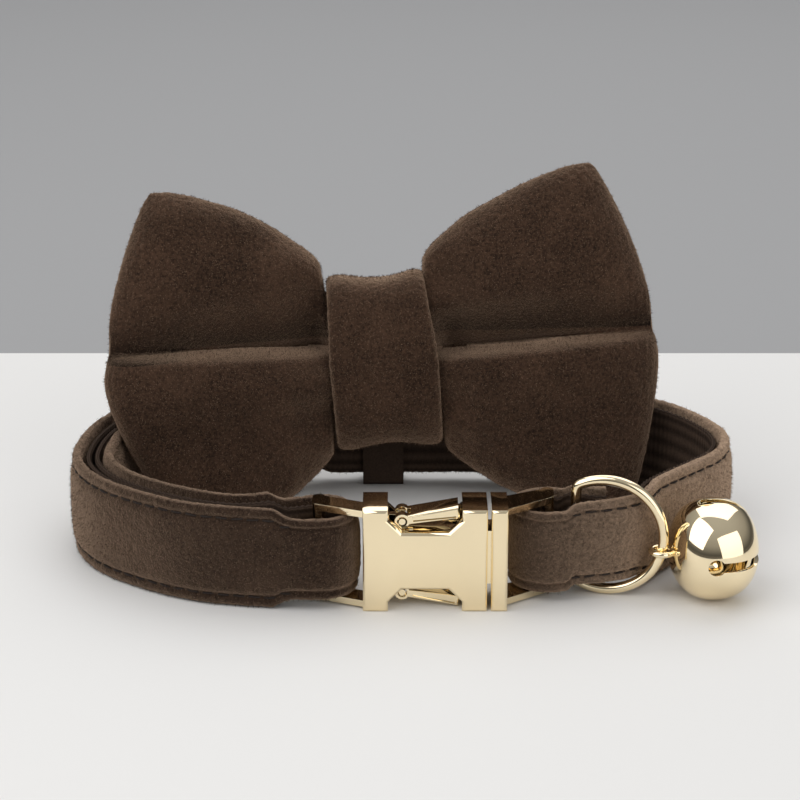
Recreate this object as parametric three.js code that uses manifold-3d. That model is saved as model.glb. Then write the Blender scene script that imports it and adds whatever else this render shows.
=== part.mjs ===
// Pet bow tie collar: a velvet strap in a closed loop, a curved metal side release buckle,
// a ring with a round bell, a strap slider and a padded bow held on by an elastic loop.
// Millimetres, +X to the wearer's left as seen from the front, +Y to the back, +Z up.
import * as THREE from 'three';
import { mergeVertices } from 'three/addons/utils/BufferGeometryUtils.js';
import Module from 'manifold-3d';

const wasm = await Module();
wasm.setup();

// Fit between pieces that lie against each other
const GAP = 0.3;

// Strap
const STRAP_HEIGHT = 18.6;
const VELVET_THICK = 2.5;
const WEBBING_THICK = 1.1;
const WEBBING_INSET = 0.9;
const LAYER_GAP = 0.3;
const LAYER = VELVET_THICK + LAYER_GAP + WEBBING_THICK;
const LOOP_WIDTH = 119;
const LOOP_DEPTH = 61.5;
const LOOP_CENTRE = 0.7;
const BACK_LIFT = 1.3;
const RING_LIFT = 1.35;
const RING_STRAP_HEIGHT = 15.6;
const FOLD_ROOM = 3.2;
const TAIL_LENGTH = 12.5;
const COVER_END = 11;
const SLIDER_TAIL = 7;

// Buckle
const PLATE_WIDTH = 21.75;
const BUCKLE_HEIGHT = 19;
const BUCKLE_DEPTH = 9.6;
const BUCKLE_LEFT = -6.5;
const EDGE_BEVEL = 0.4;
const NOTCH_WIDE = 13;
const NOTCH_NARROW = 8.2;
const NOTCH_DEPTH = 4.2;
const WALL = 1.8;
const SIDE_WALL = 3.8;
const POST_GAP = 0.7;
const POST_WIDTH = 2.85;
const WINDOW_HEIGHT = 15.7;
const ARM_THICK = 1.2;
const SOCKET_REACH = 7.8;
const PLUG_REACH = 7.3;
const BAR_WIDTH = 2.2;
const BAR_DEPTH = 5;
const SOCKET_BAR_BACK = 7;
const PLUG_BAR_BACK = 10.2;
const LEVER_LENGTH = 11.4;
const LEVER_DEPTH = 5.4;
const LEVER_THICK = 1.5;
const LEVER_END_THICK = 2;
const LEVER_RISE = 9;
const PIN_RADIUS = 0.6;
const LUG_THICK = 1.5;

// Ring and bell
const RING_OUTER = 22.6;
const RING_WIRE = 1.9;
const RING_BAR_OFFSET = 5.4;
const RING_BAR_ALONG = 5.7;
const RING_TURN = 12;
const BELL_TURN = 8;
const BELL_DROP = 13;
const BELL_DIAMETER = 18.2;
const BELL_LENGTH = 15.4;
const BELL_WALL = 0.7;
const SLIT_WIDTH = 1.8;
const SLIT_END = 3;
const SLIT_START = -1.6;
const SHANK_WIRE = 1.1;

// Slider
const SLIDER_ALONG = 21;
const SLIDER_WIDTH = 12.5;
const SLIDER_BAR = 1.6;
const SLIDER_RAIL = 2;

// Bow
const BOW_WIDTH = 105.4;
const BOW_HEIGHT = 69;
const BOW_PUFF = 12.5;
const BOW_CENTRE = -3.3;
const BOW_LEVEL = 29.8;
const BOW_LEAN = 12;
const BOW_TILT = 3.4;
const BOW_YAW = 2;
const KNOT_WIDTH = 20.4;
const KNOT_HEIGHT = 32.5;
const KNOT_DROP = 1;
const KNOT_DEPTH = 16;
const KNOT_THICK = 2.4;
const CREASE_DEPTH = 5;
const CREASE_HEIGHT = 7;
const LEFT_BEND = 9.5;
const RIGHT_BEND = 3;
const ELASTIC_WIDTH = 8;
const ELASTIC_THICK = 1;

const MID_HEIGHT = BUCKLE_HEIGHT / 2;
const rad = THREE.MathUtils.degToRad;

// The strap's plan, from the buckle round to the right, the back and the left:
// across as a share of half the loop's width, back as a share of its depth.
const PLAN = [
  { across: 0.6, back: 0.085 },
  { across: 0.675, back: 0.12 },
  { across: 0.72, back: 0.175 },
  { across: 0.755, back: 0.245 },
  { across: 0.81, back: 0.31 },
  { across: 0.895, back: 0.4 },
  { across: 0.965, back: 0.48 },
  { across: 1, back: 0.58 },
  { across: 0.985, back: 0.69 },
  { across: 0.915, back: 0.8 },
  { across: 0.78, back: 0.895 },
  { across: 0.56, back: 0.965 },
  { across: 0.25, back: 1 },
  { across: -0.08, back: 1 },
  { across: -0.4, back: 1 },
  { across: -0.61, back: 0.98 },
  { across: -0.77, back: 0.93 },
  { across: -0.89, back: 0.845 },
  { across: -0.965, back: 0.72 },
  { across: -1, back: 0.56 },
  { across: -0.99, back: 0.4 },
  { across: -0.905, back: 0.25 },
  { across: -0.75, back: 0.125 },
  { across: -0.58, back: 0.045 },
];

// Half outline of a bow wing, from the knot to the tip, as shares of half the width and height
const WING = [
  { along: 0, high: 0.33 },
  { along: 0.2, high: 0.34 },
  { along: 0.24, high: 0.6 },
  { along: 0.34, high: 0.745 },
  { along: 0.49, high: 0.86 },
  { along: 0.68, high: 0.94 },
  { along: 0.83, high: 0.99 },
  { along: 1, high: 1 },
];

// How far a wing's end draws in towards its corners, as shares of half the width
const TIP_TAPER = { high: 0.2, lowLeft: 0.32, lowRight: 0.14 };

// Closed body from rings of points, with its ends capped, or joined end to end when closed
function skin(rings, closed = false) {
  const count = rings[0].length;
  const positions = rings.flat().flatMap((p) => [p.x, p.y, p.z]);
  const faces = [];
  const spans = closed ? rings.length : rings.length - 1;
  for (let i = 0; i < spans; i += 1) {
    const a = i * count;
    const b = ((i + 1) % rings.length) * count;
    for (let j = 0; j < count; j += 1) {
      const k = (j + 1) % count;
      faces.push(a + j, a + k, b + k, a + j, b + k, b + j);
    }
  }
  if (!closed) {
    const last = (rings.length - 1) * count;
    for (let j = 1; j < count - 1; j += 1) {
      faces.push(0, j + 1, j, last, last + j, last + j + 1);
    }
  }
  const geometry = new THREE.BufferGeometry();
  geometry.setAttribute('position', new THREE.Float32BufferAttribute(positions, 3));
  geometry.setIndex(faces);
  return outward(geometry);
}

// Turns a closed body's faces outward
function outward(geometry) {
  const p = geometry.attributes.position;
  const index = geometry.index.array;
  const [a, b, c] = [new THREE.Vector3(), new THREE.Vector3(), new THREE.Vector3()];
  let volume = 0;
  for (let i = 0; i < index.length; i += 3) {
    a.fromBufferAttribute(p, index[i]);
    b.fromBufferAttribute(p, index[i + 1]);
    c.fromBufferAttribute(p, index[i + 2]);
    volume += a.dot(b.cross(c));
  }
  if (volume < 0) geometry.index.array.reverse();
  return geometry;
}

// A three.js geometry as a solid for joining and cutting
function solid(geometry) {
  const plain = geometry.clone();
  for (const name of Object.keys(plain.attributes)) {
    if (name !== 'position') plain.deleteAttribute(name);
  }
  const merged = outward(mergeVertices(plain, 1e-4));
  return new wasm.Manifold(new wasm.Mesh({
    numProp: 3,
    vertProperties: new Float32Array(merged.attributes.position.array),
    triVerts: new Uint32Array(merged.index.array),
  }));
}

// A cut or joined solid as a geometry again
function shape(manifold) {
  const mesh = manifold.getMesh();
  const geometry = new THREE.BufferGeometry();
  geometry.setAttribute('position', new THREE.BufferAttribute(mesh.vertProperties, 3));
  geometry.setIndex(new THREE.BufferAttribute(mesh.triVerts, 1));
  return geometry;
}

function block(x0, x1, y0, y1, z0, z1) {
  const box = new THREE.BoxGeometry(x1 - x0, y1 - y0, z1 - z0);
  box.translate((x0 + x1) / 2, (y0 + y1) / 2, (z0 + z1) / 2);
  return solid(box);
}

function outline(points) {
  return new THREE.Shape(points.map(([x, y]) => new THREE.Vector2(x, y)));
}

// Extrudes an outline drawn in X and Z along Y, from y0 to y1
function plate(points, y0, y1, bevel = 0) {
  const geometry = new THREE.ExtrudeGeometry(outline(points), {
    depth: y1 - y0 - 2 * bevel,
    bevelEnabled: bevel > 0,
    bevelSize: bevel,
    bevelThickness: bevel,
    bevelOffset: -bevel,
    bevelSegments: 1,
  });
  geometry.rotateX(Math.PI / 2);
  geometry.translate(0, y1 - bevel, 0);
  return solid(geometry);
}

// Extrudes an outline drawn in X and Y up from z0 to z1
function slab(points, z0, z1) {
  const geometry = new THREE.ExtrudeGeometry(outline(points), { depth: z1 - z0, bevelEnabled: false });
  geometry.translate(0, 0, z0);
  return solid(geometry);
}

// Round pin along Y
function pin(x, z, radius, y0, y1) {
  const geometry = new THREE.CylinderGeometry(radius, radius, y1 - y0, 16);
  geometry.translate(x, (y0 + y1) / 2, z);
  return solid(geometry);
}

// Points of an oval end bar in plan
function barOutline(x, y) {
  const round = BAR_WIDTH / 2;
  const straight = BAR_DEPTH / 2 - round;
  const points = [];
  for (let i = 0; i <= 6; i += 1) {
    const angle = (Math.PI * i) / 6;
    points.push([x + round * Math.cos(angle), y + straight + round * Math.sin(angle)]);
  }
  for (let i = 0; i <= 6; i += 1) {
    const angle = Math.PI + (Math.PI * i) / 6;
    points.push([x + round * Math.cos(angle), y - straight + round * Math.sin(angle)]);
  }
  return points;
}

// Buckle places that follow from its sizes
const plateRight = BUCKLE_LEFT + PLATE_WIDTH;
const postLeft = plateRight + POST_GAP;
const postRight = postLeft + POST_WIDTH;
const socketBar = { x: BUCKLE_LEFT - SOCKET_REACH, y: SOCKET_BAR_BACK };
const plugBar = { x: postRight + PLUG_REACH, y: PLUG_BAR_BACK };
const plateMid = BUCKLE_LEFT + PLATE_WIDTH / 2;
const windowLow = MID_HEIGHT - WINDOW_HEIGHT / 2;
const windowHigh = MID_HEIGHT + WINDOW_HEIGHT / 2;
const cavity = {
  left: BUCKLE_LEFT + SIDE_WALL,
  pocket: NOTCH_WIDE / 2 - 0.2,
  front: WALL,
  back: BUCKLE_DEPTH - WALL,
  low: NOTCH_DEPTH - 0.9,
  high: BUCKLE_HEIGHT - NOTCH_DEPTH + 0.9,
};
const leverPivot = { x: plateMid - NOTCH_NARROW / 2 + 0.1, z: BUCKLE_HEIGHT - NOTCH_DEPTH / 2 - 0.7 };
const leverFront = (BUCKLE_DEPTH - LEVER_DEPTH) / 2;

// Two flat arms and the bar that the strap folds round
function frame(rootX, rootFront, rootBack, bar) {
  const side = Math.sign(bar.x - rootX);
  const end = bar.x + side * BAR_WIDTH * 0.3;
  const front = bar.y - BAR_DEPTH / 2 + 0.2;
  const back = bar.y + BAR_DEPTH / 2 - 0.2;
  const arm = [
    [rootX - side * 0.5, rootFront],
    [end, front],
    [end, back],
    [rootX - side * 0.5, rootBack],
  ];
  const low = slab(arm, windowLow - ARM_THICK, windowLow);
  const high = slab(arm, windowHigh, windowHigh + ARM_THICK);
  const rod = slab(barOutline(bar.x, bar.y), windowLow - ARM_THICK, windowHigh + ARM_THICK);
  return low.add(high).add(rod);
}

function socket() {
  const half = PLATE_WIDTH / 2;
  const [wide, narrow] = [NOTCH_WIDE / 2, NOTCH_NARROW / 2];
  const step = NOTCH_DEPTH - (NOTCH_WIDE - NOTCH_NARROW) / 2;
  const right = [
    [half, 0],
    [half, BUCKLE_HEIGHT],
    [wide, BUCKLE_HEIGHT],
    [wide, BUCKLE_HEIGHT - step],
    [narrow, BUCKLE_HEIGHT - NOTCH_DEPTH],
  ];
  const left = right.map(([x, z]) => [-x, z]).reverse();
  const under = [
    [-wide, 0],
    [-wide, step],
    [-narrow, NOTCH_DEPTH],
    [narrow, NOTCH_DEPTH],
    [wide, step],
    [wide, 0],
  ];
  const points = [...right, ...left, ...under].map(([x, z]) => [x + plateMid, z]);
  let body = plate(points, 0, BUCKLE_DEPTH, EDGE_BEVEL);
  body = body.subtract(
    block(cavity.left, plateRight + 1, cavity.front, cavity.back, cavity.low, cavity.high),
  );
  const [pocketLeft, pocketRight] = [plateMid - cavity.pocket, plateMid + cavity.pocket];
  body = body.subtract(
    block(pocketLeft, pocketRight, cavity.front, cavity.back, -1, BUCKLE_HEIGHT + 1),
  );
  const middle = leverFront + LEVER_DEPTH / 2;
  for (const end of [1, -1]) {
    const z = MID_HEIGHT + end * (leverPivot.z - MID_HEIGHT);
    const floor = MID_HEIGHT + end * (cavity.high - MID_HEIGHT);
    const lug = block(
      plateMid - cavity.pocket - 0.5,
      leverPivot.x + PIN_RADIUS,
      middle - LUG_THICK / 2,
      middle + LUG_THICK / 2,
      Math.min(z + end * PIN_RADIUS, floor),
      Math.max(z + end * PIN_RADIUS, floor),
    );
    body = body.add(lug);
    body = body.add(pin(leverPivot.x, z, PIN_RADIUS, leverFront, leverFront + LEVER_DEPTH));
  }
  return body.add(frame(BUCKLE_LEFT, 1, 5.4, socketBar));
}

function plug() {
  const post = [
    [postLeft, 0],
    [postRight, 0],
    [postRight, BUCKLE_HEIGHT],
    [postLeft, BUCKLE_HEIGHT],
  ];
  const low = cavity.low + GAP;
  const high = cavity.high - GAP - 0.9;
  const tip = cavity.left + GAP + 0.6;
  const tongue = [
    [postLeft + 0.5, low + 0.9],
    [postLeft + 0.5, high],
    [tip + 3, high],
    [tip, high - 3],
    [tip, low + 3.9],
    [tip + 3, low + 0.9],
  ];
  return plate(post, 0, BUCKLE_DEPTH, EDGE_BEVEL)
    .add(plate(tongue, cavity.front + GAP, cavity.back - GAP))
    .add(frame(postRight, 1.8, 8.4, plugBar));
}

// A release lever in the socket's notch, hinged at its left end and lifted by its spring
function lever(end) {
  const ear = PIN_RADIUS + GAP + 0.45;
  const mark = LEVER_LENGTH - ear;
  const arm = [
    [0, -LEVER_THICK / 2],
    [mark, -LEVER_END_THICK / 2],
    [mark, LEVER_END_THICK / 2],
    [0, LEVER_THICK / 2],
  ];
  const middle = LEVER_DEPTH / 2;
  let body = plate(arm, 0, LEVER_DEPTH, 0.2).add(pin(0, 0, ear, 0, LEVER_DEPTH));
  const slot = LUG_THICK / 2 + GAP;
  body = body.subtract(pin(0, 0, PIN_RADIUS + GAP, -1, LEVER_DEPTH + 1));
  body = body.subtract(block(-3, ear + GAP, middle - slot, middle + slot, -3, 3));
  const panel = plate([[1.9, -0.3], [mark - 0.6, -0.7], [mark - 0.6, 0.7], [1.9, 0.3]], -1, 0.35);
  body = body.subtract(panel);
  const geometry = shape(body);
  geometry.rotateY(rad(-LEVER_RISE));
  if (end < 0) {
    geometry.scale(1, 1, -1);
    outward(geometry);
  }
  return geometry;
}

// Strap route in plan
const wrap = FOLD_ROOM + LAYER / 2;
const loopFront = SOCKET_BAR_BACK - wrap;
const planPoints = PLAN.map(({ across, back }) => new THREE.Vector2(
  LOOP_CENTRE + (across * LOOP_WIDTH) / 2,
  loopFront + back * LOOP_DEPTH,
));
const mainLoop = new THREE.SplineCurve([
  new THREE.Vector2(plugBar.x, plugBar.y - wrap),
  new THREE.Vector2(plugBar.x + 3.5, plugBar.y - wrap + 0.5),
  ...planPoints,
  new THREE.Vector2(socketBar.x - 4, socketBar.y - wrap),
  new THREE.Vector2(socketBar.x, socketBar.y - wrap),
]);
mainLoop.arcLengthDivisions = 800;
const mainLength = mainLoop.getLength();

const smooth = (x, a, b) => THREE.MathUtils.smoothstep(x, a, b);

// A point of the main loop at a distance along it, shifted to the inside of the loop
function beside(distance, inward) {
  const share = THREE.MathUtils.clamp(distance / mainLength, 0, 1);
  const point = mainLoop.getPointAt(share);
  const along = mainLoop.getTangentAt(share);
  return new THREE.Vector2(point.x - along.y * inward, point.y + along.x * inward);
}

// Half turn round a bar, from one side of it to the other
function fold(centre, radius, start, steps) {
  const points = [];
  for (let i = 0; i <= steps; i += 1) {
    const angle = start + (Math.PI * i) / steps;
    points.push(new THREE.Vector2(centre.x + radius * Math.cos(angle), centre.y + radius * Math.sin(angle)));
  }
  return points;
}

// Spread of the two layers: wide at the end bar, closing to layer against layer
const closed = LAYER + 0.45;
const tailGap = (d) => THREE.MathUtils.lerp(2 * wrap, closed, smooth(d, BAR_WIDTH, TAIL_LENGTH));
const returnGap = (d) => THREE.MathUtils.lerp(2 * wrap, closed, smooth(d, 0, 17));

// The slider sits on the back stretch, its centre bar on the loop's inside
const sliderAt = mainLength * 0.5 + SLIDER_ALONG;
const sliderBarIn = LAYER / 2 + GAP + WEBBING_THICK + GAP + SLIDER_BAR / 2;
const sliderBar = beside(sliderAt, sliderBarIn);
const sliderFold = SLIDER_BAR / 2 + GAP + LAYER / 2;

function strapRoute() {
  const tail = [];
  for (let d = TAIL_LENGTH; d > 0.5; d -= 2.5) tail.push(beside(d, tailGap(d)));
  const right = fold(plugBar, wrap, Math.PI / 2, 8);
  const loop = [];
  const loopSteps = 76;
  for (let i = 1; i < loopSteps; i += 1) loop.push(beside((mainLength * i) / loopSteps, 0));
  const left = fold(socketBar, wrap, -Math.PI / 2, 8);
  const back = [];
  const straight = mainLength - sliderAt;
  for (let d = 3; d < straight - 2; d += 4) {
    const join = smooth(d, straight - 26, straight - 3);
    back.push(beside(mainLength - d, THREE.MathUtils.lerp(returnGap(d), sliderBarIn + sliderFold, join)));
  }
  const turn = fold(sliderBar, sliderFold, -Math.PI / 2, 6);
  const end = [];
  for (let d = 2.5; d <= SLIDER_TAIL; d += 2.25) {
    end.push(beside(sliderAt + d, sliderBarIn - sliderFold));
  }
  return { tail, right, loop, left, back, turn, end };
}

const route = strapRoute();
const whole = [
  ...route.tail, ...route.right, ...route.loop, ...route.left, ...route.back, ...route.turn, ...route.end,
];
const coverCount = whole.length - route.end.length - route.turn.length - Math.round(COVER_END / 4);

// How tall the strap is and how far it is lifted at a place in plan
function strapAt(point) {
  const toPlug = Math.hypot(point.x - plugBar.x, point.y - plugBar.y);
  const toSocket = Math.hypot(point.x - socketBar.x, point.y - socketBar.y);
  const toSlider = Math.hypot(point.x - sliderBar.x, point.y - sliderBar.y);
  const narrow = WINDOW_HEIGHT - 2 * GAP;
  const pastPlug = point.x - plugBar.x;
  const near = Math.max(
    1 - smooth(toPlug, 6, 8),
    1 - smooth(toSocket, 6.5, 9.5),
    1 - smooth(toSlider, SLIDER_WIDTH / 2 + 4, SLIDER_WIDTH / 2 + 9),
  );
  const behind = smooth(point.y, loopFront + LOOP_DEPTH * 0.7, loopFront + LOOP_DEPTH * 0.98);
  const atRing = smooth(pastPlug, 2.5, 5) * (1 - smooth(pastPlug, 15, 19.5)) * (1 - behind);
  const full = THREE.MathUtils.lerp(STRAP_HEIGHT, RING_STRAP_HEIGHT, atRing);
  return {
    height: THREE.MathUtils.lerp(full, narrow, near),
    level: MID_HEIGHT + BACK_LIFT * behind + RING_LIFT * atRing,
  };
}

// Band swept along plan points, its section given as offset outward and share of half height
function band(points, section, inset) {
  const rings = points.map((point, i) => {
    const before = points[Math.max(i - 1, 0)];
    const after = points[Math.min(i + 1, points.length - 1)];
    const along = after.clone().sub(before).normalize();
    const { height, level } = strapAt(point);
    return section.map(({ out, up }) => new THREE.Vector3(
      point.x + along.y * out,
      point.y - along.x * out,
      level + up * (height / 2 - inset),
    ));
  });
  return skin(rings);
}

const coverOut = LAYER / 2;
const coverIn = coverOut - VELVET_THICK;
const COVER_SECTION = [
  { out: coverIn, up: -0.9 },
  { out: coverIn + VELVET_THICK * 0.25, up: -0.99 },
  { out: coverIn + VELVET_THICK * 0.7, up: -0.97 },
  { out: coverOut - 0.15, up: -0.82 },
  { out: coverOut, up: -0.4 },
  { out: coverOut, up: 0.4 },
  { out: coverOut - 0.15, up: 0.82 },
  { out: coverIn + VELVET_THICK * 0.7, up: 0.97 },
  { out: coverIn + VELVET_THICK * 0.25, up: 0.99 },
  { out: coverIn, up: 0.9 },
];
const WEBBING_SECTION = [
  { out: -LAYER / 2, up: -1 },
  { out: -LAYER / 2 + WEBBING_THICK, up: -1 },
  { out: -LAYER / 2 + WEBBING_THICK, up: 1 },
  { out: -LAYER / 2, up: 1 },
];

function slider() {
  const turned = mainLoop.getTangentAt(sliderAt / mainLength);
  const angle = Math.atan2(turned.y, turned.x) + Math.PI;
  const { level } = strapAt(sliderBar);
  const low = -WINDOW_HEIGHT / 2;
  const high = WINDOW_HEIGHT / 2;
  const inner = -SLIDER_BAR / 2;
  const rod = new THREE.CylinderGeometry(SLIDER_BAR / 2, SLIDER_BAR / 2, WINDOW_HEIGHT + 1, 12);
  rod.rotateX(Math.PI / 2);
  const outer = sliderBarIn + LAYER / 2 + GAP;
  const bars = [
    solid(rod),
    block(-SLIDER_WIDTH / 2, -SLIDER_WIDTH / 2 + SLIDER_BAR, outer, outer + SLIDER_BAR, low - 0.5, high + 0.5),
    block(SLIDER_WIDTH / 2 - SLIDER_BAR, SLIDER_WIDTH / 2, outer, outer + SLIDER_BAR, low - 0.5, high + 0.5),
  ];
  const rail = [
    [-SLIDER_BAR / 2 - 0.6, inner],
    [SLIDER_BAR / 2 + 0.6, inner],
    [SLIDER_WIDTH / 2, outer],
    [SLIDER_WIDTH / 2, outer + SLIDER_BAR],
    [-SLIDER_WIDTH / 2, outer + SLIDER_BAR],
    [-SLIDER_WIDTH / 2, outer],
  ];
  const geometry = shape(bars.reduce((all, bar) => all.add(bar))
    .add(slab(rail, low - SLIDER_RAIL, low))
    .add(slab(rail, high, high + SLIDER_RAIL)));
  geometry.rotateZ(angle);
  geometry.translate(sliderBar.x, sliderBar.y, level);
  return geometry;
}

// Ring: a round wire closed by a straight bar, which is the origin, the ring reaching along +X
const ringRadius = (RING_OUTER - RING_WIRE) / 2;
const ringLevel = RING_OUTER / 2 + 0.1;

function ring() {
  const half = Math.acos(-RING_BAR_OFFSET / ringRadius);
  const path = [];
  const arcSteps = 28;
  for (let i = 0; i <= arcSteps; i += 1) {
    const angle = -half + (2 * half * i) / arcSteps;
    path.push([RING_BAR_OFFSET + ringRadius * Math.cos(angle), ringRadius * Math.sin(angle)]);
  }
  const rings = path.map(([x, z], i) => {
    const [bx, bz] = path[(i + path.length - 1) % path.length];
    const [ax, az] = path[(i + 1) % path.length];
    const along = new THREE.Vector2(ax - bx, az - bz).normalize();
    const circle = [];
    for (let j = 0; j < 8; j += 1) {
      const angle = (Math.PI * 2 * (j + 0.5)) / 8;
      const side = (RING_WIRE / 2) * Math.cos(angle);
      circle.push(new THREE.Vector3(x + along.y * side, (RING_WIRE / 2) * Math.sin(angle), z - along.x * side));
    }
    return circle;
  });
  return skin(rings, true);
}

// The bell's wire shank loops round the ring's wire
const shankRadius = RING_WIRE / 2 + GAP + 0.1 + SHANK_WIRE / 2;

// Bell: a hollow round shell with crossed slits on +X and a wire shank on -X
function bell() {
  const profile = [];
  const steps = 14;
  const squash = (angle) => Math.sign(Math.sin(angle)) * Math.abs(Math.sin(angle)) ** 0.9;
  for (let i = 0; i <= steps; i += 1) {
    const angle = -Math.PI / 2 + (Math.PI * i) / steps;
    const wide = Math.max(Math.cos(angle), 0) ** 0.8;
    profile.push(new THREE.Vector2((BELL_DIAMETER / 2) * wide, (BELL_LENGTH / 2) * squash(angle)));
  }
  profile[0].x = 0;
  profile[steps].x = 0;
  const shell = (shrink) => {
    const scaled = profile.map((p) => new THREE.Vector2(
      p.x * (1 - (2 * shrink) / BELL_DIAMETER),
      p.y * (1 - (2 * shrink) / BELL_LENGTH),
    ));
    const geometry = new THREE.LatheGeometry(scaled, 24);
    geometry.rotateZ(-Math.PI / 2);
    return solid(geometry);
  };
  let body = shell(0).subtract(shell(BELL_WALL));
  for (const turn of [0, Math.PI / 2]) {
    const cut = new THREE.BoxGeometry(BELL_LENGTH, SLIT_WIDTH, BELL_DIAMETER + 1);
    cut.translate(SLIT_START + BELL_LENGTH / 2, 0, 0);
    cut.rotateX(turn);
    body = body.subtract(solid(cut));
    const hole = new THREE.CylinderGeometry(SLIT_END / 2, SLIT_END / 2, BELL_DIAMETER + 1, 12);
    hole.rotateX(turn + Math.PI / 2);
    hole.translate(SLIT_START, 0, 0);
    body = body.subtract(solid(hole));
  }
  const shank = new THREE.TorusGeometry(shankRadius, SHANK_WIRE / 2, 8, 20);
  shank.translate(-BELL_LENGTH / 2 - shankRadius + SHANK_WIRE * 0.3, 0, 0);
  return body.add(solid(shank).subtract(shell(BELL_WALL)));
}

// Bow height share at a share of the way out along a wing
function wingHeight(along) {
  const far = Math.min(Math.abs(along), 1);
  const i = Math.min(WING.findIndex((row, n) => n > 0 && far <= row.along), WING.length - 1);
  const [a, b] = [WING[i - 1], WING[i]];
  return THREE.MathUtils.lerp(a.high, b.high, smooth(far, a.along, b.along) * 0.35
    + (0.65 * (far - a.along)) / (b.along - a.along));
}

const pinch = (along) => 1 - 0.2 * (1 - smooth(Math.abs(along), 0.2, 0.42));
const rim = (share, power) => Math.max(1 - Math.abs(share) ** power, 0) ** 0.5;

// One point of the bow's cushion: along -1 to 1, high -1 to 1, face -1 in front or 1 behind
function bowPoint(along, high, face) {
  const lowTaper = along < 0 ? TIP_TAPER.lowLeft : TIP_TAPER.lowRight;
  const edge = 1 - (high > 0 ? TIP_TAPER.high : lowTaper) * Math.abs(high) ** 1.7;
  const x = (BOW_WIDTH / 2) * along * THREE.MathUtils.lerp(1, edge, Math.abs(along) ** 2);
  const z = (BOW_HEIGHT / 2) * wingHeight(along) * high;
  const puff = (BOW_PUFF / 2) * pinch(along) * rim(along, 6) * rim(high, 5);
  const reach = smooth(Math.abs(along), 0.1, 0.3);
  const pleat = CREASE_DEPTH * reach * (1 - 0.7 * smooth(Math.abs(along), 0.35, 1))
    * Math.exp(-(((high * BOW_HEIGHT) / CREASE_HEIGHT) ** 2)) * rim(along, 6);
  const out = (2 * x) / BOW_WIDTH;
  const bend = out * out * (along < 0 ? LEFT_BEND * (1 - 0.4 * high) : RIGHT_BEND);
  return new THREE.Vector3(x, face * (puff - (face < 0 ? pleat : 0.3 * pleat)) - bend, z);
}

// Moves a bow point to its leaning place and presses what would sink into the floor flat
function placeBow(point) {
  const placed = point.clone()
    .applyAxisAngle(new THREE.Vector3(0, 1, 0), rad(-BOW_TILT))
    .applyAxisAngle(new THREE.Vector3(1, 0, 0), rad(-BOW_LEAN))
    .applyAxisAngle(new THREE.Vector3(0, 0, 1), rad(BOW_YAW))
    .add(new THREE.Vector3(BOW_CENTRE, bowBack, BOW_LEVEL));
  const soft = 1.4;
  placed.z = placed.z > 12 ? placed.z : soft * Math.log1p(Math.exp((placed.z - 0.4) / soft)) + 0.4;
  return placed;
}

function bowBody() {
  const rings = [];
  const alongSteps = 44;
  const highSteps = 14;
  for (let i = 0; i <= alongSteps; i += 1) {
    const along = Math.sin((Math.PI / 2) * ((2 * i) / alongSteps - 1) * 0.995);
    const loop = [];
    for (let j = 0; j < highSteps; j += 1) {
      loop.push(placeBow(bowPoint(along, -Math.cos((Math.PI * j) / highSteps), -1)));
    }
    for (let j = 0; j < highSteps; j += 1) {
      loop.push(placeBow(bowPoint(along, Math.cos((Math.PI * j) / highSteps), 1)));
    }
    rings.push(loop);
  }
  return skin(rings);
}

// Where the bow stands: its knot's back just clear of the elastic on the strap
const bowBack = loopFront + LOOP_DEPTH - LAYER / 2 - ELASTIC_THICK - 2 * GAP - KNOT_DEPTH / 2 + 1.6;

// Band round the bow's middle
function knot() {
  const rings = [];
  const steps = 28;
  const section = [
    { x: -0.5, out: 0.15 }, { x: -0.47, out: 0.75 }, { x: -0.36, out: 1 }, { x: 0, out: 1.1 },
    { x: 0.36, out: 1 }, { x: 0.47, out: 0.75 }, { x: 0.5, out: 0.15 }, { x: 0.4, out: 0 }, { x: -0.4, out: 0 },
  ];
  for (let i = 0; i < steps; i += 1) {
    const angle = (Math.PI * 2 * i) / steps;
    const [c, s] = [Math.cos(angle), Math.sin(angle)];
    const oval = (Math.abs(c) ** 3 + Math.abs(s) ** 3) ** (-1 / 3);
    rings.push(section.map(({ x, out }) => {
      const grow = out * KNOT_THICK;
      const waist = 1 - 0.04 * Math.cos(x * Math.PI * 2) * Math.abs(s) ** 4;
      return placeBow(new THREE.Vector3(
        KNOT_WIDTH * x * (x > 0 ? 1 - 0.15 * smooth(s, -0.1, 1) : 1 - 0.05 * Math.abs(s)),
        (KNOT_DEPTH / 2 - KNOT_THICK + grow) * c * oval,
        (KNOT_HEIGHT / 2 - KNOT_THICK + grow) * s * oval * waist - KNOT_DROP,
      ));
    }));
  }
  return skin(rings, true);
}

// Flat elastic loop round the back stretch of the strap
function elastic() {
  const back = loopFront + LOOP_DEPTH;
  const { height, level } = strapAt(new THREE.Vector2(BOW_CENTRE, back));
  const half = { y: LAYER / 2 + GAP, z: height / 2 + GAP };
  const corner = 0.8;
  const rings = [];
  for (const [sy, sz] of [[-1, -1], [1, -1], [1, 1], [-1, 1]]) {
    for (const late of [0, 1]) {
      const first = (sy * sz > 0) === (late === 1);
      const cut = first ? [corner, 0] : [0, corner];
      rings.push([0, 1].flatMap((out) => {
        const wide = out ? [ELASTIC_WIDTH / 2, -ELASTIC_WIDTH / 2] : [-ELASTIC_WIDTH / 2, ELASTIC_WIDTH / 2];
        const y = sy * (half.y + out * ELASTIC_THICK - cut[0]);
        const z = sz * (half.z + out * ELASTIC_THICK - cut[1]);
        return wide.map((x) => new THREE.Vector3(BOW_CENTRE + x, back + y, level + z));
      }));
    }
  }
  return skin(rings, true);
}

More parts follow.
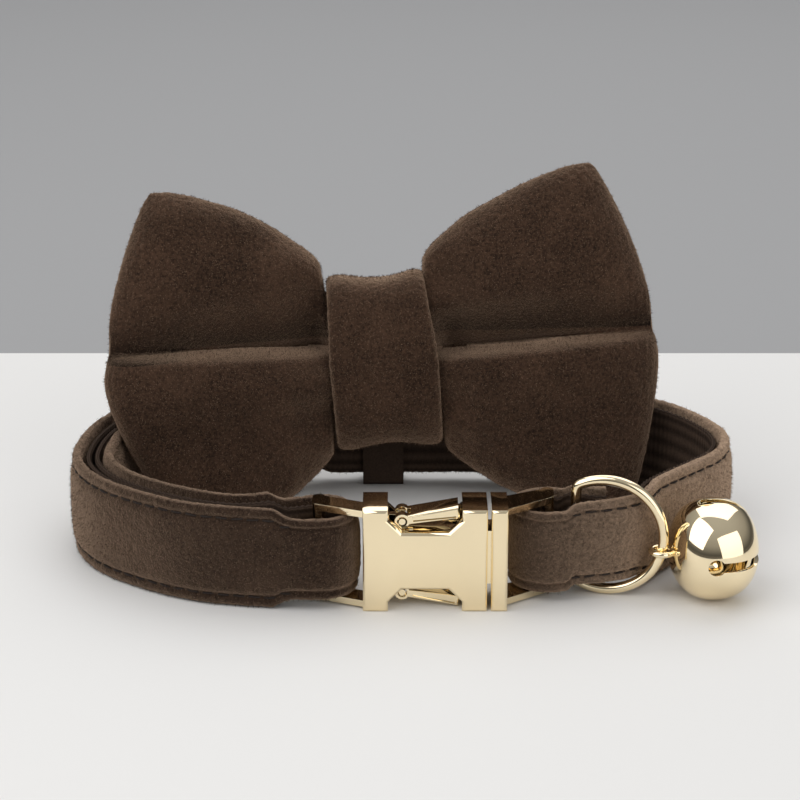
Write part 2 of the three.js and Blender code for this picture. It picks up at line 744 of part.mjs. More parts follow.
const gold = new THREE.MeshStandardMaterial({ color: 0xe6d2a8, roughness: 0.12, metalness: 1 });
const velvet = new THREE.MeshStandardMaterial({ color: 0x3c2c22, roughness: 0.95, metalness: 0 });
const webbing = new THREE.MeshStandardMaterial({ color: 0x19110d, roughness: 0.8, metalness: 0 });
const rubber = new THREE.MeshStandardMaterial({ color: 0x1c1512, roughness: 0.75, metalness: 0 });

function piece(name, geometry, material) {
  const mesh = new THREE.Mesh(geometry, material.clone());
  mesh.name = name;
  return mesh;
}

const collar = new THREE.Group();
collar.add(piece('strap_velvet', band(whole.slice(0, coverCount), COVER_SECTION, 0), velvet));
collar.add(piece('strap_webbing', band(whole, WEBBING_SECTION, WEBBING_INSET), webbing));
collar.add(piece('slider', slider(), gold));
collar.add(piece('buckle_socket', shape(socket()), gold));
collar.add(piece('buckle_plug', shape(plug()), gold));

for (const [name, end] of [['lever_top', 1], ['lever_bottom', -1]]) {
  const mesh = piece(name, lever(end), gold);
  mesh.position.set(leverPivot.x, leverFront, MID_HEIGHT + end * (leverPivot.z - MID_HEIGHT));
  collar.add(mesh);
}

// The ring's straight bar stands between the strap's layers, and the bell hangs on its far side
const ringPlace = beside(RING_BAR_ALONG, LAYER / 2 + GAP + RING_WIRE / 2);
const ringGroup = new THREE.Group();
ringGroup.position.set(ringPlace.x, ringPlace.y, ringLevel);
ringGroup.rotation.z = rad(-RING_TURN);
ringGroup.add(piece('d_ring', ring(), gold));
const bellMesh = piece('bell', shape(bell()), gold);
const bellReach = BELL_LENGTH / 2 + shankRadius - SHANK_WIRE * 0.3;
const bellAngle = rad(RING_TURN + BELL_TURN);
bellMesh.rotation.z = bellAngle;
bellMesh.position.set(
  RING_BAR_OFFSET + ringRadius * Math.cos(rad(BELL_DROP)) + bellReach * Math.cos(bellAngle),
  bellReach * Math.sin(bellAngle),
  -ringRadius * Math.sin(rad(BELL_DROP)),
);
ringGroup.add(bellMesh);
collar.add(ringGroup);

collar.add(piece('bow_body', bowBody(), velvet));
collar.add(piece('bow_knot', knot(), velvet));
collar.add(piece('bow_elastic', elastic(), rubber));

// The origin is the bottom centre of the whole collar
collar.updateMatrixWorld(true);
const extent = new THREE.Box3().setFromObject(collar, true);
const middle = extent.getCenter(new THREE.Vector3());
collar.position.set(-middle.x, -middle.y, -extent.min.z);

export default collar;
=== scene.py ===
"""Dresses the pet bow tie collar: velvet strap and bow, ribbed webbing and polished pale gold metal."""

import logging
import math
from dataclasses import dataclass, field
from enum import Enum
from typing import Callable, Sequence

import bpy
import numpy as np
from mathutils import Matrix, Vector, noise
from mathutils.bvhtree import BVHTree


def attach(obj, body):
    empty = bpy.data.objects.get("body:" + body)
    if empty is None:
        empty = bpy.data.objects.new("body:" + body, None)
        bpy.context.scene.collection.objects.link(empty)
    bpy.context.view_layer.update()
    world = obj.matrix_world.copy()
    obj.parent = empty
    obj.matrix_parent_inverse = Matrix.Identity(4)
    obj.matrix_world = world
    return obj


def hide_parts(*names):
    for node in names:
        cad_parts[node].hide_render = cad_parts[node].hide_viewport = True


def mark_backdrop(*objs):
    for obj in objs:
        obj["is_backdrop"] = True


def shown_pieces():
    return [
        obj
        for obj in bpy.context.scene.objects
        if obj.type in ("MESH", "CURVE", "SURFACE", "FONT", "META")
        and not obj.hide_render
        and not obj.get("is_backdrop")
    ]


MM = 0.001
# The part's drawing puts its origin at the buckle's front; the frame has it at the collar's middle
OFFSET = np.array([-1.181, -32.814, 0.0])
# Middle of the ring's bar in the frame, in millimetres
RING_PLACE = (29.9205, -23.7118, 11.4)
# How far the pile's tufts stand out and how wide they are, in millimetres
TUFT_DEPTH = 0.13
TUFT_SIZE = 0.7

log = logging.getLogger("collar")

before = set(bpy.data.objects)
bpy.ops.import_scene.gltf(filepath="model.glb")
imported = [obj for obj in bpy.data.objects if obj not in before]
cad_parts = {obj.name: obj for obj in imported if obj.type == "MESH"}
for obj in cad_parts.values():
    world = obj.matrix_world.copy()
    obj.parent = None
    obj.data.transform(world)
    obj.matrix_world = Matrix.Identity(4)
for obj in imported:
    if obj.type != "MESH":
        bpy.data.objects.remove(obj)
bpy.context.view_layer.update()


class Row(Enum):
    """Which edge of the strap a row of stitches follows."""

    UPPER = 1
    LOWER = -1


# Shader helpers


class Field:
    """A shader socket that takes part in sums and products."""

    def __init__(self, bench: "Bench", socket: bpy.types.NodeSocket) -> None:
        """Wraps one output socket of a bench's node."""
        self.bench = bench
        self.socket = socket

    def _maths(self, operation: str, *values: "Field | float") -> "Field":
        """Adds a Math node on these values and returns its result."""
        return self.bench.node("ShaderNodeMath", {"operation": operation}, dict(enumerate(values)))

    def __add__(self, other: "Field | float") -> "Field":
        """Sum."""
        return self._maths("ADD", self, other)

    __radd__ = __add__

    def __sub__(self, other: "Field | float") -> "Field":
        """Difference."""
        return self._maths("SUBTRACT", self, other)

    def __rsub__(self, other: "Field | float") -> "Field":
        """Difference, the other way round."""
        return self._maths("SUBTRACT", other, self)

    def __mul__(self, other: "Field | float") -> "Field":
        """Product."""
        return self._maths("MULTIPLY", self, other)

    __rmul__ = __mul__

    def __pow__(self, other: "Field | float") -> "Field":
        """Power."""
        return self._maths("POWER", self, other)

    def clamp(self) -> "Field":
        """The value held between 0 and 1."""
        return self.bench.node("ShaderNodeClamp", {}, {0: self})


class Bench:
    """One material's node tree, with its Principled shader ready."""

    def __init__(self, name: str) -> None:
        """Makes the material and finds its shader."""
        self.material = bpy.data.materials.new(name)
        self.material.use_nodes = True
        self.tree = self.material.node_tree
        self.shader = self.tree.nodes["Principled BSDF"]

    def node(
        self,
        kind: str,
        settings: dict[str, object] | None = None,
        inputs: dict[int | str, object] | None = None,
        output: int | str = 0,
    ) -> Field:
        """Adds any node.

        Args:
            kind: the node's type.
            settings: its properties, set first.
            inputs: values or fields for its sockets, by number or name.
            output: the socket that is returned.

        Returns:
            The chosen output as a field.
        """
        made = self.tree.nodes.new(kind)
        for key, value in (settings or {}).items():
            setattr(made, key, value)
        for key, value in (inputs or {}).items():
            if isinstance(value, Field):
                self.tree.links.new(value.socket, made.inputs[key])
            elif value is not None:
                made.inputs[key].default_value = value
        return Field(self, made.outputs[output])

    def place(self) -> Field:
        """Object coordinates, in metres."""
        return self.node("ShaderNodeTexCoord", output="Object")

    def uv(self) -> Field:
        """The piece's own UV map."""
        return self.node("ShaderNodeTexCoord", output="UV")

    def axis(self, vector: Field, name: str) -> Field:
        """One axis, X, Y or Z, of a vector."""
        return self.node("ShaderNodeSeparateXYZ", {}, {0: vector}, output=name)

    def grain(self, vector: Field, scale: float, detail: float = 2.0, roughness: float = 0.5) -> Field:
        """Noise from 0 to 1.

        Args:
            vector: where it is read.
            scale: features for each metre.
            detail: octaves.
            roughness: how strong the finer octaves are.

        Returns:
            The noise value.
        """
        inputs = {"Vector": vector, "Scale": scale, "Detail": detail, "Roughness": roughness}
        return self.node("ShaderNodeTexNoise", {}, inputs, output="Fac")

    def blend(self, amount: Field, low: Sequence[float], high: Sequence[float]) -> Field:
        """A colour between two, by an amount from 0 to 1."""
        inputs = {0: amount, 6: (*low, 1.0), 7: (*high, 1.0)}
        return self.node("ShaderNodeMix", {"data_type": "RGBA"}, inputs, output=2)

    def mix(self, amount: Field, low: Field, high: Field | Sequence[float]) -> Field:
        """A colour field blended towards another colour."""
        end = high if isinstance(high, Field) else (*high, 1.0)
        return self.node("ShaderNodeMix", {"data_type": "RGBA"}, {0: amount, 6: low, 7: end}, output=2)

    def relief(self, height: Field, distance: float, strength: float = 1.0) -> None:
        """Feeds a height to the shader's normal.

        Args:
            height: the height, about 0 to 1.
            distance: metres for a height of 1.
            strength: share of the effect.
        """
        inputs = {"Height": height, "Distance": distance, "Strength": strength}
        self.feed("Normal", self.node("ShaderNodeBump", {}, inputs))

    def feed(self, socket: str, value: Field | float | Sequence[float]) -> None:
        """Sets or links one of the shader's own sockets.

        Args:
            socket: its name.
            value: a field, a number or a colour.
        """
        if isinstance(value, Field):
            self.tree.links.new(value.socket, self.shader.inputs[socket])
        elif isinstance(value, (int, float)):
            self.shader.inputs[socket].default_value = value
        else:
            self.shader.inputs[socket].default_value = (*value, 1.0)


# Finishes, their colours in linear light


@dataclass(frozen=True)
class VelvetFinish:
    """Short velvet pile, darker head on, with a painted sheen that lightens it where it turns away, and
    painted shade above the bow's fold.
    """

    name: str = "velvet"
    deep: tuple[float, float, float] = (0.021, 0.0130, 0.0092)
    lit: tuple[float, float, float] = (0.112, 0.0680, 0.0450)
    # colour of the painted sheen where the pile turns away
    painted_rim_sheen: tuple[float, float, float] = (0.44, 0.310, 0.215)
    # painted shade just above the bow's fold: its strength, the fold's line and how far up it reaches
    painted_fold_shade: float = 0.0
    fold_level: float = 0.0
    fold_slope: float = 0.0
    fold_reach: float = 0.0085
    # painted sheen towards the strap's right end: its strength, where it starts and how far it grows
    painted_nap_sheen: float = 0.0
    nap_sheen_from: float = 0.012
    nap_sheen_over: float = 0.03
    patches_per_metre: float = 90.0
    tufts_per_metre: float = 1800.0
    fibres_per_metre: float = 5200.0
    relief_depth: float = 0.0007
    sheen: float = 0.9
    sheen_tint: tuple[float, float, float] = (0.62, 0.43, 0.30)

    def make(self) -> bpy.types.Material:
        """Builds the material."""
        bench = Bench(self.name)
        place = bench.place()
        patches = bench.grain(place, self.patches_per_metre, 3.0, 0.6)
        tufts = bench.grain(place, self.tufts_per_metre, 3.0, 0.75)
        fibre = bench.grain(place, self.fibres_per_metre, 2.0, 0.7)
        tone = 0.46 + 2.6 * (tufts - 0.5) + 1.6 * (fibre - 0.5) + 0.9 * (patches - 0.5)
        base = bench.blend(tone.clamp(), self.deep, self.lit)
        # painted shade just above the bow's fold
        base = bench.mix(self._fold(bench, place), base, tuple(0.3 * c for c in self.deep))
        # painted sheen: towards the right end of the strap, where the pile lies the other way, the colour
        # is painted lighter
        right = ((bench.axis(place, "X") - self.nap_sheen_from) * (1 / self.nap_sheen_over)).clamp()
        # painted sheen: the colour turns towards the sheen colour where the surface turns edge on, more
        # on the tufts
        facing = bench.node("ShaderNodeLayerWeight", {}, {"Blend": 0.3}, output="Facing")
        edge = (facing ** 1.8) * (0.3 + 1.3 * tufts)
        edge = edge + self.painted_nap_sheen * right * (0.2 + 1.5 * (tufts - 0.3))
        bench.feed("Base Color", bench.mix(edge.clamp(), base, self.painted_rim_sheen))
        bench.feed("Roughness", 0.95)
        bench.feed("Specular IOR Level", 0.08)
        bench.feed("Sheen Weight", self.sheen)
        bench.feed("Sheen Roughness", 0.32)
        bench.feed("Sheen Tint", self.sheen_tint)
        bench.relief(0.6 * tufts + 0.4 * fibre, self.relief_depth)
        return bench.material

    def _fold(self, bench: Bench, place: Field) -> Field:
        """How much painted shade darkens the pile just above the fold across the bow, from 0 to 1."""
        line = self.fold_slope * bench.axis(place, "X") + self.fold_level
        above = (bench.axis(place, "Z") - line) * (1 / self.fold_reach)
        over = bench.node("ShaderNodeMath", {"operation": "GREATER_THAN"}, {0: above, 1: 0.0})
        return self.painted_fold_shade * over * (((1 - above).clamp()) ** 1.5)


@dataclass(frozen=True)
class TapeFinish:
    """Dark woven tape, its ribs across the length read from the UV map."""

    name: str
    colour: tuple[float, float, float] = (0.022, 0.0138, 0.0098)
    high: tuple[float, float, float] = (0.085, 0.056, 0.040)
    threads: float = 18.0

    def make(self) -> bpy.types.Material:
        """Builds the material."""
        bench = Bench(self.name)
        uv = bench.uv()
        across = bench.axis(uv, "Y") * (2 * math.pi * self.threads)
        weave = bench.node("ShaderNodeMath", {"operation": "SINE"}, {0: across})
        fuzz = bench.grain(bench.place(), 3200.0, 2.0, 0.6)
        tone = 0.35 + 0.25 * weave + 0.7 * (fuzz - 0.5)
        bench.feed("Base Color", bench.blend(tone.clamp(), self.colour, self.high))
        bench.feed("Roughness", 0.85)
        bench.feed("Specular IOR Level", 0.12)
        bench.relief(0.6 * weave + 0.8 * fuzz, 0.00012, 0.7)
        return bench.material


@dataclass(frozen=True)
class ThreadFinish:
    """Twisted sewing thread."""

    name: str = "thread"
    colour: tuple[float, float, float] = (0.012, 0.0075, 0.0055)

    def make(self) -> bpy.types.Material:
        """Builds the material."""
        bench = Bench(self.name)
        fuzz = bench.grain(bench.place(), 5000.0, 1.0)
        high = tuple(min(c * 1.9, 1.0) for c in self.colour)
        bench.feed("Base Color", bench.blend(fuzz, self.colour, high))
        bench.feed("Roughness", 0.6)
        bench.feed("Specular IOR Level", 0.3)
        bench.relief(fuzz, 0.0001, 0.5)
        return bench.material


@dataclass(frozen=True)
class GoldFinish:
    """Polished pale gold plating, with the slight waviness of cast metal."""

    name: str = "pale_gold"
    colour: tuple[float, float, float] = (1.0, 0.85, 0.575)
    roughness: float = 0.035
    wave: float = 0.00012

    def make(self) -> bpy.types.Material:
        """Builds the material."""
        bench = Bench(self.name)
        place = bench.place()
        smear = bench.grain(place, 160.0, 3.0, 0.6)
        wave = bench.grain(place, 130.0, 1.0)
        darker = tuple(c * 0.93 for c in self.colour)
        bench.feed("Base Color", bench.blend(smear, self.colour, darker))
        bench.feed("Metallic", 1.0)
        bench.feed("Roughness", self.roughness + 0.05 * smear)
        bench.relief(wave, self.wave)
        return bench.material


@dataclass(frozen=True)
class SurfaceFinish:
    """Plain matt paper or board of the setting."""

    name: str
    colour: tuple[float, float, float]

    def make(self) -> bpy.types.Material:
        """Builds the material."""
        bench = Bench(self.name)
        bench.feed("Base Color", self.colour)
        bench.feed("Roughness", 0.7)
        bench.feed("Specular IOR Level", 0.2)
        return bench.material


# Mesh helpers


def smooth(x: np.ndarray | float, low: float, high: float) -> np.ndarray | float:
    """Smooth step from 0 at low to 1 at high."""
    t = np.clip((x - low) / (high - low), 0.0, 1.0)
    return t * t * (3 - 2 * t)


def lerp(a: np.ndarray | float, b: np.ndarray | float, t: np.ndarray | float) -> np.ndarray | float:
    """Value between a and b."""
    return a + (b - a) * t


def ripple(points: np.ndarray, scale: float, seed: float) -> np.ndarray:
    """Smooth noise from -1 to 1 at each point.

    Args:
        points: rows of three numbers.
        scale: features for each unit.
        seed: shifts the pattern.

    Returns:
        One value for each point.
    """
    shift = Vector((seed, seed * 1.7, seed * 0.6))
    return np.array([noise.noise(Vector(p) * scale + shift) for p in points])


def tufted(points: np.ndarray, seed: float) -> np.ndarray:
    """Roughens a surface into small tufts of pile.

    Args:
        points: rows of three numbers, in millimetres.
        seed: shifts the pattern.

    Returns:
        The moved points.
    """
    moves = [ripple(points, 1 / TUFT_SIZE, seed + 13.7 * k) for k in range(3)]
    return points + TUFT_DEPTH * np.column_stack(moves)


def clear_selection() -> None:
    """Deselects everything, in object mode."""
    if bpy.context.object and bpy.context.object.mode != "OBJECT":
        bpy.ops.object.mode_set(mode="OBJECT")
    bpy.ops.object.select_all(action="DESELECT")


def take(obj: bpy.types.Object) -> None:
    """Makes one object the only selected and active one."""
    clear_selection()
    obj.select_set(True)
    bpy.context.view_layer.objects.active = obj


def coordinates(obj: bpy.types.Object) -> np.ndarray:
    """The object's vertex places as an array of rows."""
    flat = np.empty(len(obj.data.vertices) * 3)
    obj.data.vertices.foreach_get("co", flat)
    return flat.reshape(-1, 3)


def set_coordinates(obj: bpy.types.Object, places: np.ndarray) -> None:
    """Moves the object's vertices to these places."""
    obj.data.vertices.foreach_set("co", np.ascontiguousarray(places, dtype=float).ravel())
    obj.data.update()


def modifier(obj: bpy.types.Object, kind: str, **settings: object) -> None:
    """Adds a modifier and applies it."""
    take(obj)
    added = obj.modifiers.new(kind.lower(), kind)
    for key, value in settings.items():
        setattr(added, key, value)
    bpy.ops.object.modifier_apply(modifier=added.name)


def shaped_sheet(
    name: str,
    columns: int,
    rows: int,
    shape: Callable[[np.ndarray, np.ndarray], np.ndarray],
    soft: bool = True,
) -> bpy.types.Object:
    """A fine grid laid over a surface, its open edges joined and its ends filled.

    Args:
        name: the piece's name.
        columns: faces along u.
        rows: faces along v.
        shape: gives places in millimetres of the drawing for arrays of u and v, both 0 to 1.
        soft: whether every face is shaded smooth, as on cloth.

    Returns:
        The finished object, in metres in the frame.
    """
    clear_selection()
    bpy.ops.mesh.primitive_grid_add(x_subdivisions=columns, y_subdivisions=rows, size=1)
    obj = bpy.context.object
    obj.name = obj.data.name = name
    flat = coordinates(obj) + 0.5
    set_coordinates(obj, (shape(flat[:, 0], flat[:, 1]) + OFFSET) * MM)
    bpy.ops.object.mode_set(mode="EDIT")
    bpy.ops.mesh.select_all(action="SELECT")
    bpy.ops.mesh.remove_doubles(threshold=2e-6)
    bpy.ops.mesh.fill_holes(sides=0)
    bpy.ops.mesh.select_all(action="SELECT")
    bpy.ops.mesh.normals_make_consistent(inside=False)
    bpy.ops.object.mode_set(mode="OBJECT")
    take(obj)
    if soft:
        bpy.ops.object.shade_smooth()
    else:
        bpy.ops.object.shade_smooth_by_angle(angle=math.radians(50))
    return obj


def dress(obj: bpy.types.Object, material: bpy.types.Material) -> bpy.types.Object:
    """Gives an object one material in place of any it has."""
    obj.data.materials.clear()
    obj.data.materials.append(material)
    return obj


def copy_of(node: str, name: str, join_flats: bool = True) -> bpy.types.Object:
    """A merged copy of a CAD node.

    Args:
        node: the CAD node.
        name: the copy's name.
        join_flats: whether its flat faces are joined up again.

    Returns:
        The copy, at the origin.
    """
    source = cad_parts[node]
    obj = bpy.data.objects.new(name, source.data.copy())
    bpy.context.scene.collection.objects.link(obj)
    take(obj)
    if obj.data.has_custom_normals:
        bpy.ops.mesh.customdata_custom_splitnormals_clear()
    bpy.ops.object.mode_set(mode="EDIT")
    bpy.ops.mesh.select_all(action="SELECT")
    bpy.ops.mesh.remove_doubles(threshold=5e-6)
    if join_flats:
        bpy.ops.mesh.dissolve_limited(angle_limit=math.radians(1.5))
    bpy.ops.object.mode_set(mode="OBJECT")
    return obj


def joined(name: str, parts: Sequence[bpy.types.Object]) -> bpy.types.Object:
    """Joins objects into one with this name."""
    clear_selection()
    for part in parts:
        part.select_set(True)
    bpy.context.view_layer.objects.active = parts[0]
    bpy.ops.object.join()
    obj = bpy.context.object
    obj.name = obj.data.name = name
    return obj


def settled(obj: bpy.types.Object) -> bpy.types.Object:
    """Moves an object's place, turn and scale into its mesh."""
    take(obj)
    bpy.ops.object.transform_apply(location=True, rotation=True, scale=True)
    return obj


# Velvet pile


@dataclass
class Pile:
    """Short fibres that stand on a velvet face, each a thin closed spike."""

    length: float = 0.62
    thick: float = 0.11
    clear: float = 0.9
    spread: float = 0.42
    drop: float = 0.3
    root_depth: float = 0.06
    shortest: float = 0.55
    longest: float = 1.1

    def grow(self, name: str, ground: bpy.types.Object, count: int, seed: int) -> bpy.types.Object:
        """Sets fibres on a piece, away from the metal.

        Args:
            name: the new piece's name.
            ground: the velvet piece.
            count: how many fibres are tried.
            seed: for the random places and directions.

        Returns:
            The fibres as one object.
        """
        rng = np.random.default_rng(seed)
        roots, outward = self._roots(ground, count, rng)
        clear = np.array([self._is_clear(root) for root in roots])
        roots, outward = roots[clear], outward[clear]
        number = len(roots)
        clear_selection()
        bpy.ops.mesh.primitive_cone_add(vertices=3, radius1=1, radius2=0, depth=1)
        obj = bpy.context.object
        obj.name = obj.data.name = name
        spike = coordinates(obj) + np.array([0, 0, 0.5])
        modifier(obj, "ARRAY", count=number)
        lean = outward + self.spread * rng.standard_normal((number, 3)) - np.array([0, 0, self.drop])
        lean /= np.linalg.norm(lean, axis=1, keepdims=True)
        side = np.cross(lean, rng.standard_normal((number, 3)))
        side /= np.linalg.norm(side, axis=1, keepdims=True)
        other = np.cross(lean, side)
        long = self.length * MM * rng.uniform(self.shortest, self.longest, (number, 1))
        wide = self.thick / 2 * MM
        start = roots - outward * self.root_depth * MM
        places = np.stack(
            [start + wide * (a * side + b * other) + c * long * lean for a, b, c in spike], axis=1
        )
        set_coordinates(obj, places.reshape(-1, 3))
        return obj

    def _roots(
        self, ground: bpy.types.Object, count: int, rng: np.random.Generator
    ) -> tuple[np.ndarray, np.ndarray]:
        """Random places on a mesh, even over its area.

        Args:
            ground: the mesh's object.
            count: how many places.
            rng: the random numbers' source.

        Returns:
            Rows of three numbers for the places and for the outward directions there.
        """
        mesh = ground.data
        mesh.calc_loop_triangles()
        corners = np.empty(len(mesh.loop_triangles) * 3, dtype=np.int64)
        mesh.loop_triangles.foreach_get("vertices", corners)
        a, b, c = coordinates(ground)[corners.reshape(-1, 3)].transpose(1, 0, 2)
        across = np.cross(b - a, c - a)
        area = np.linalg.norm(across, axis=1)
        pick = rng.choice(len(area), count, p=area / area.sum())
        u, v = rng.random((2, count, 1))
        over = u + v > 1
        u, v = np.where(over, 1 - u, u), np.where(over, 1 - v, v)
        roots = a[pick] + u * (b - a)[pick] + v * (c - a)[pick]
        return roots, across[pick] / area[pick][:, None]

    def _is_clear(self, root: np.ndarray) -> bool:
        """Whether a place is far enough from every metal piece."""
        return all(tree.find_nearest(Vector(root), self.clear * MM)[0] is None for tree in METAL)


def metal_trees() -> list[BVHTree]:
    """Search trees of the CAD metal pieces, the ring's at three stages of its swing."""
    nodes = ("slider", "buckle_socket", "buckle_plug", "lever_top", "lever_bottom", "bell", "d_ring")
    jobs = [(node, 0.0) for node in nodes] + [("d_ring", 30.0), ("d_ring", 60.0), ("d_ring", 90.0)]
    axis = Vector(RING_PLACE) * MM
    trees = []
    for node, swing in jobs:
        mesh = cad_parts[node].data
        turn = Matrix.Rotation(-math.radians(swing), 4, "Z")
        turn = Matrix.Translation(axis) @ turn @ Matrix.Translation(-axis)
        faces = [tuple(face.vertices) for face in mesh.polygons]
        trees.append(BVHTree.FromPolygons([turn @ v.co for v in mesh.vertices], faces))
    return trees


METAL = metal_trees()


# The strap's route


@dataclass
class LoopPlan:
    """The strap's path in plan, in millimetres of the part's drawing."""

    loop_width: float = 119.0
    loop_depth: float = 61.5
    loop_centre: float = 0.7
    layer: float = 3.9
    fold_room: float = 3.2
    socket_bar: tuple[float, float] = (-14.3, 7.0)
    plug_bar: tuple[float, float] = (26.1, 10.2)
    bar_width: float = 2.2
    tail_length: float = 12.5
    slider_along: float = 21.0
    slider_bar: float = 1.6
    slider_width: float = 12.5
    slider_tail: float = 7.0
    strap_height: float = 18.6
    ring_height: float = 15.6
    window_height: float = 15.7
    middle: float = 9.5
    back_lift: float = 1.3
    ring_lift: float = 1.35
    webbing_thick: float = 1.1
    gap: float = 0.3
    closed_gap: float = 0.45
    loop_spans: int = 76
    cover_end: float = 11.0
    # across as a share of half the width, back as a share of the depth
    plan: tuple[tuple[float, float], ...] = (
        (0.6, 0.085), (0.675, 0.12), (0.72, 0.175), (0.755, 0.245), (0.81, 0.31), (0.895, 0.4),
        (0.965, 0.48), (1, 0.58), (0.985, 0.69), (0.915, 0.8), (0.78, 0.895), (0.56, 0.965),
        (0.25, 1), (-0.08, 1), (-0.4, 1), (-0.61, 0.98), (-0.77, 0.93), (-0.89, 0.845),
        (-0.965, 0.72), (-1, 0.56), (-0.99, 0.4), (-0.905, 0.25), (-0.75, 0.125), (-0.58, 0.045),
    )

    def __post_init__(self) -> None:
        """Works out the curve, and the route that the strap takes along it."""
        self.wrap = self.fold_room + self.layer / 2
        self.front = self.socket_bar[1] - self.wrap
        plug_x, plug_y = self.plug_bar
        socket_x, socket_y = self.socket_bar
        points = [(plug_x, plug_y - self.wrap), (plug_x + 3.5, plug_y - self.wrap + 0.5)]
        points += [
            (self.loop_centre + a * self.loop_width / 2, self.front + b * self.loop_depth)
            for a, b in self.plan
        ]
        points += [(socket_x - 4, socket_y - self.wrap), (socket_x, socket_y - self.wrap)]
        self.dense = through(np.array(points), 60)
        steps = np.linalg.norm(np.diff(self.dense, axis=0), axis=1)
        self.run = np.concatenate([[0], np.cumsum(steps)])
        self.length = self.run[-1]
        self.slider_at = self.length * 0.5 + self.slider_along
        self.slider_in = self.layer / 2 + self.gap + self.webbing_thick + self.gap + self.slider_bar / 2
        self.slider_place = self.beside(self.slider_at, self.slider_in)
        self._route()

    def beside(self, distance: float, inward: float) -> np.ndarray:
        """A point of the loop at a distance along it, shifted towards its inside."""
        at = np.clip(distance, 0, self.length)
        point = np.array([np.interp(at, self.run, self.dense[:, k]) for k in (0, 1)])
        near = [max(at - 0.3, 0), min(at + 0.3, self.length)]
        ends = np.array([[np.interp(d, self.run, self.dense[:, k]) for k in (0, 1)] for d in near])
        along = (ends[1] - ends[0]) / np.linalg.norm(ends[1] - ends[0])
        return point + inward * np.array([-along[1], along[0]])

    def _fold(
        self, centre: Sequence[float], radius: float, start: float, steps: int
    ) -> list[np.ndarray]:
        """A half turn round a bar.

        Args:
            centre: the bar's middle.
            radius: how far out the strap's middle runs.
            start: the angle where the turn starts.
            steps: spans along it.

        Returns:
            The turn's points.
        """
        turn = [start + math.pi * i / steps for i in range(steps + 1)]
        return [np.array(centre) + radius * np.array([math.cos(a), math.sin(a)]) for a in turn]

    def _route(self) -> None:
        """Lists the points of the whole strap and counts those that the velvet covers."""
        closed = self.layer + self.closed_gap
        tail = [
            self.beside(d, lerp(2 * self.wrap, closed, smooth(d, self.bar_width, self.tail_length)))
            for d in np.arange(self.tail_length, 0.5, -2.5)
        ]
        right = self._fold(self.plug_bar, self.wrap, math.pi / 2, 8)
        loop = [self.beside(self.length * i / self.loop_spans, 0) for i in range(1, self.loop_spans)]
        left = self._fold(self.socket_bar, self.wrap, -math.pi / 2, 8)
        straight = self.length - self.slider_at
        slider_fold = self.slider_bar / 2 + self.gap + self.layer / 2
        back = []
        for d in np.arange(3, straight - 2, 4):
            join = smooth(d, straight - 26, straight - 3)
            layer_gap = lerp(2 * self.wrap, closed, smooth(d, 0, 17))
            back.append(self.beside(self.length - d, lerp(layer_gap, self.slider_in + slider_fold, join)))
        turn = self._fold(self.slider_place, slider_fold, -math.pi / 2, 6)
        end = [
            self.beside(self.slider_at + d, self.slider_in - slider_fold)
            for d in np.arange(2.5, self.slider_tail + 0.01, 2.25)
        ]
        self.whole = np.array(tail + right + loop + left + back + turn + end)
        self.cover_count = len(self.whole) - len(end) - len(turn) - round(self.cover_end / 4)
        self.loop_span = (len(tail) + len(right), len(tail) + len(right) + len(loop))

    def strap_at(self, points: np.ndarray) -> tuple[np.ndarray, np.ndarray]:
        """The strap's height and the level of its middle at places in plan.

        Args:
            points: rows of two numbers.

        Returns:
            Heights and levels, one for each point.
        """

        def reach(centre: Sequence[float]) -> np.ndarray:
            """Distance of each point from a bar."""
            return np.hypot(points[:, 0] - centre[0], points[:, 1] - centre[1])

        narrow = self.window_height - 2 * self.gap
        past = points[:, 0] - self.plug_bar[0]
        near = np.maximum.reduce([
            1 - smooth(reach(self.plug_bar), 6, 8),
            1 - smooth(reach(self.socket_bar), 6.5, 9.5),
            1 - smooth(reach(self.slider_place), self.slider_width / 2 + 4, self.slider_width / 2 + 9),
        ])
        from_here, to_here = (self.front + self.loop_depth * share for share in (0.7, 0.98))
        behind = smooth(points[:, 1], from_here, to_here)
        at_ring = smooth(past, 2.5, 5) * (1 - smooth(past, 15, 19.5)) * (1 - behind)
        full = lerp(self.strap_height, self.ring_height, at_ring)
        return lerp(full, narrow, near), self.middle + self.back_lift * behind + self.ring_lift * at_ring


def through(points: np.ndarray, steps: int) -> np.ndarray:
    """A smooth curve through points.

    Args:
        points: rows of numbers.
        steps: samples between each pair.

    Returns:
        The samples, both ends included.
    """
    padded = np.vstack([points[:1], points, points[-1:]])
    t = np.linspace(0, 1, steps, endpoint=False)[:, None]
    spans = []
    for i in range(len(points) - 1):
        a, b, c, d = padded[i : i + 4]
        v0, v1 = (c - a) * 0.5, (d - b) * 0.5
        spans.append(
            (2 * b - 2 * c + v0 + v1) * t**3 + (-3 * b + 3 * c - 2 * v0 - v1) * t**2 + v0 * t + b
        )
    return np.vstack([*spans, points[-1:]])


class Ribbon:
    """A path in plan that is read by the share of its length, with its outward direction."""

    def __init__(self, points: np.ndarray) -> None:
        """Smooths the points and measures along them."""
        self.dense = through(points, 24)
        steps = np.linalg.norm(np.diff(self.dense, axis=0), axis=1)
        self.run = np.concatenate([[0], np.cumsum(steps)])
        self.length = float(self.run[-1])

    def at(self, share: np.ndarray) -> tuple[np.ndarray, np.ndarray]:
        """Places and outward directions.

        Args:
            share: how far along, 0 to 1.

        Returns:
            Rows of two numbers for the places and for the outward directions.
        """
        distance = np.clip(share, 0, 1) * self.length
        step = 0.35

        def read(spots: np.ndarray) -> np.ndarray:
            """Places at distances along the path."""
            return np.stack([np.interp(spots, self.run, self.dense[:, k]) for k in (0, 1)], axis=1)

        along = read(np.clip(distance + step, 0, self.length))
        along = along - read(np.clip(distance - step, 0, self.length))
        along /= np.linalg.norm(along, axis=1, keepdims=True)
        return read(distance), np.stack([along[:, 1], -along[:, 0]], axis=1)


# Strap


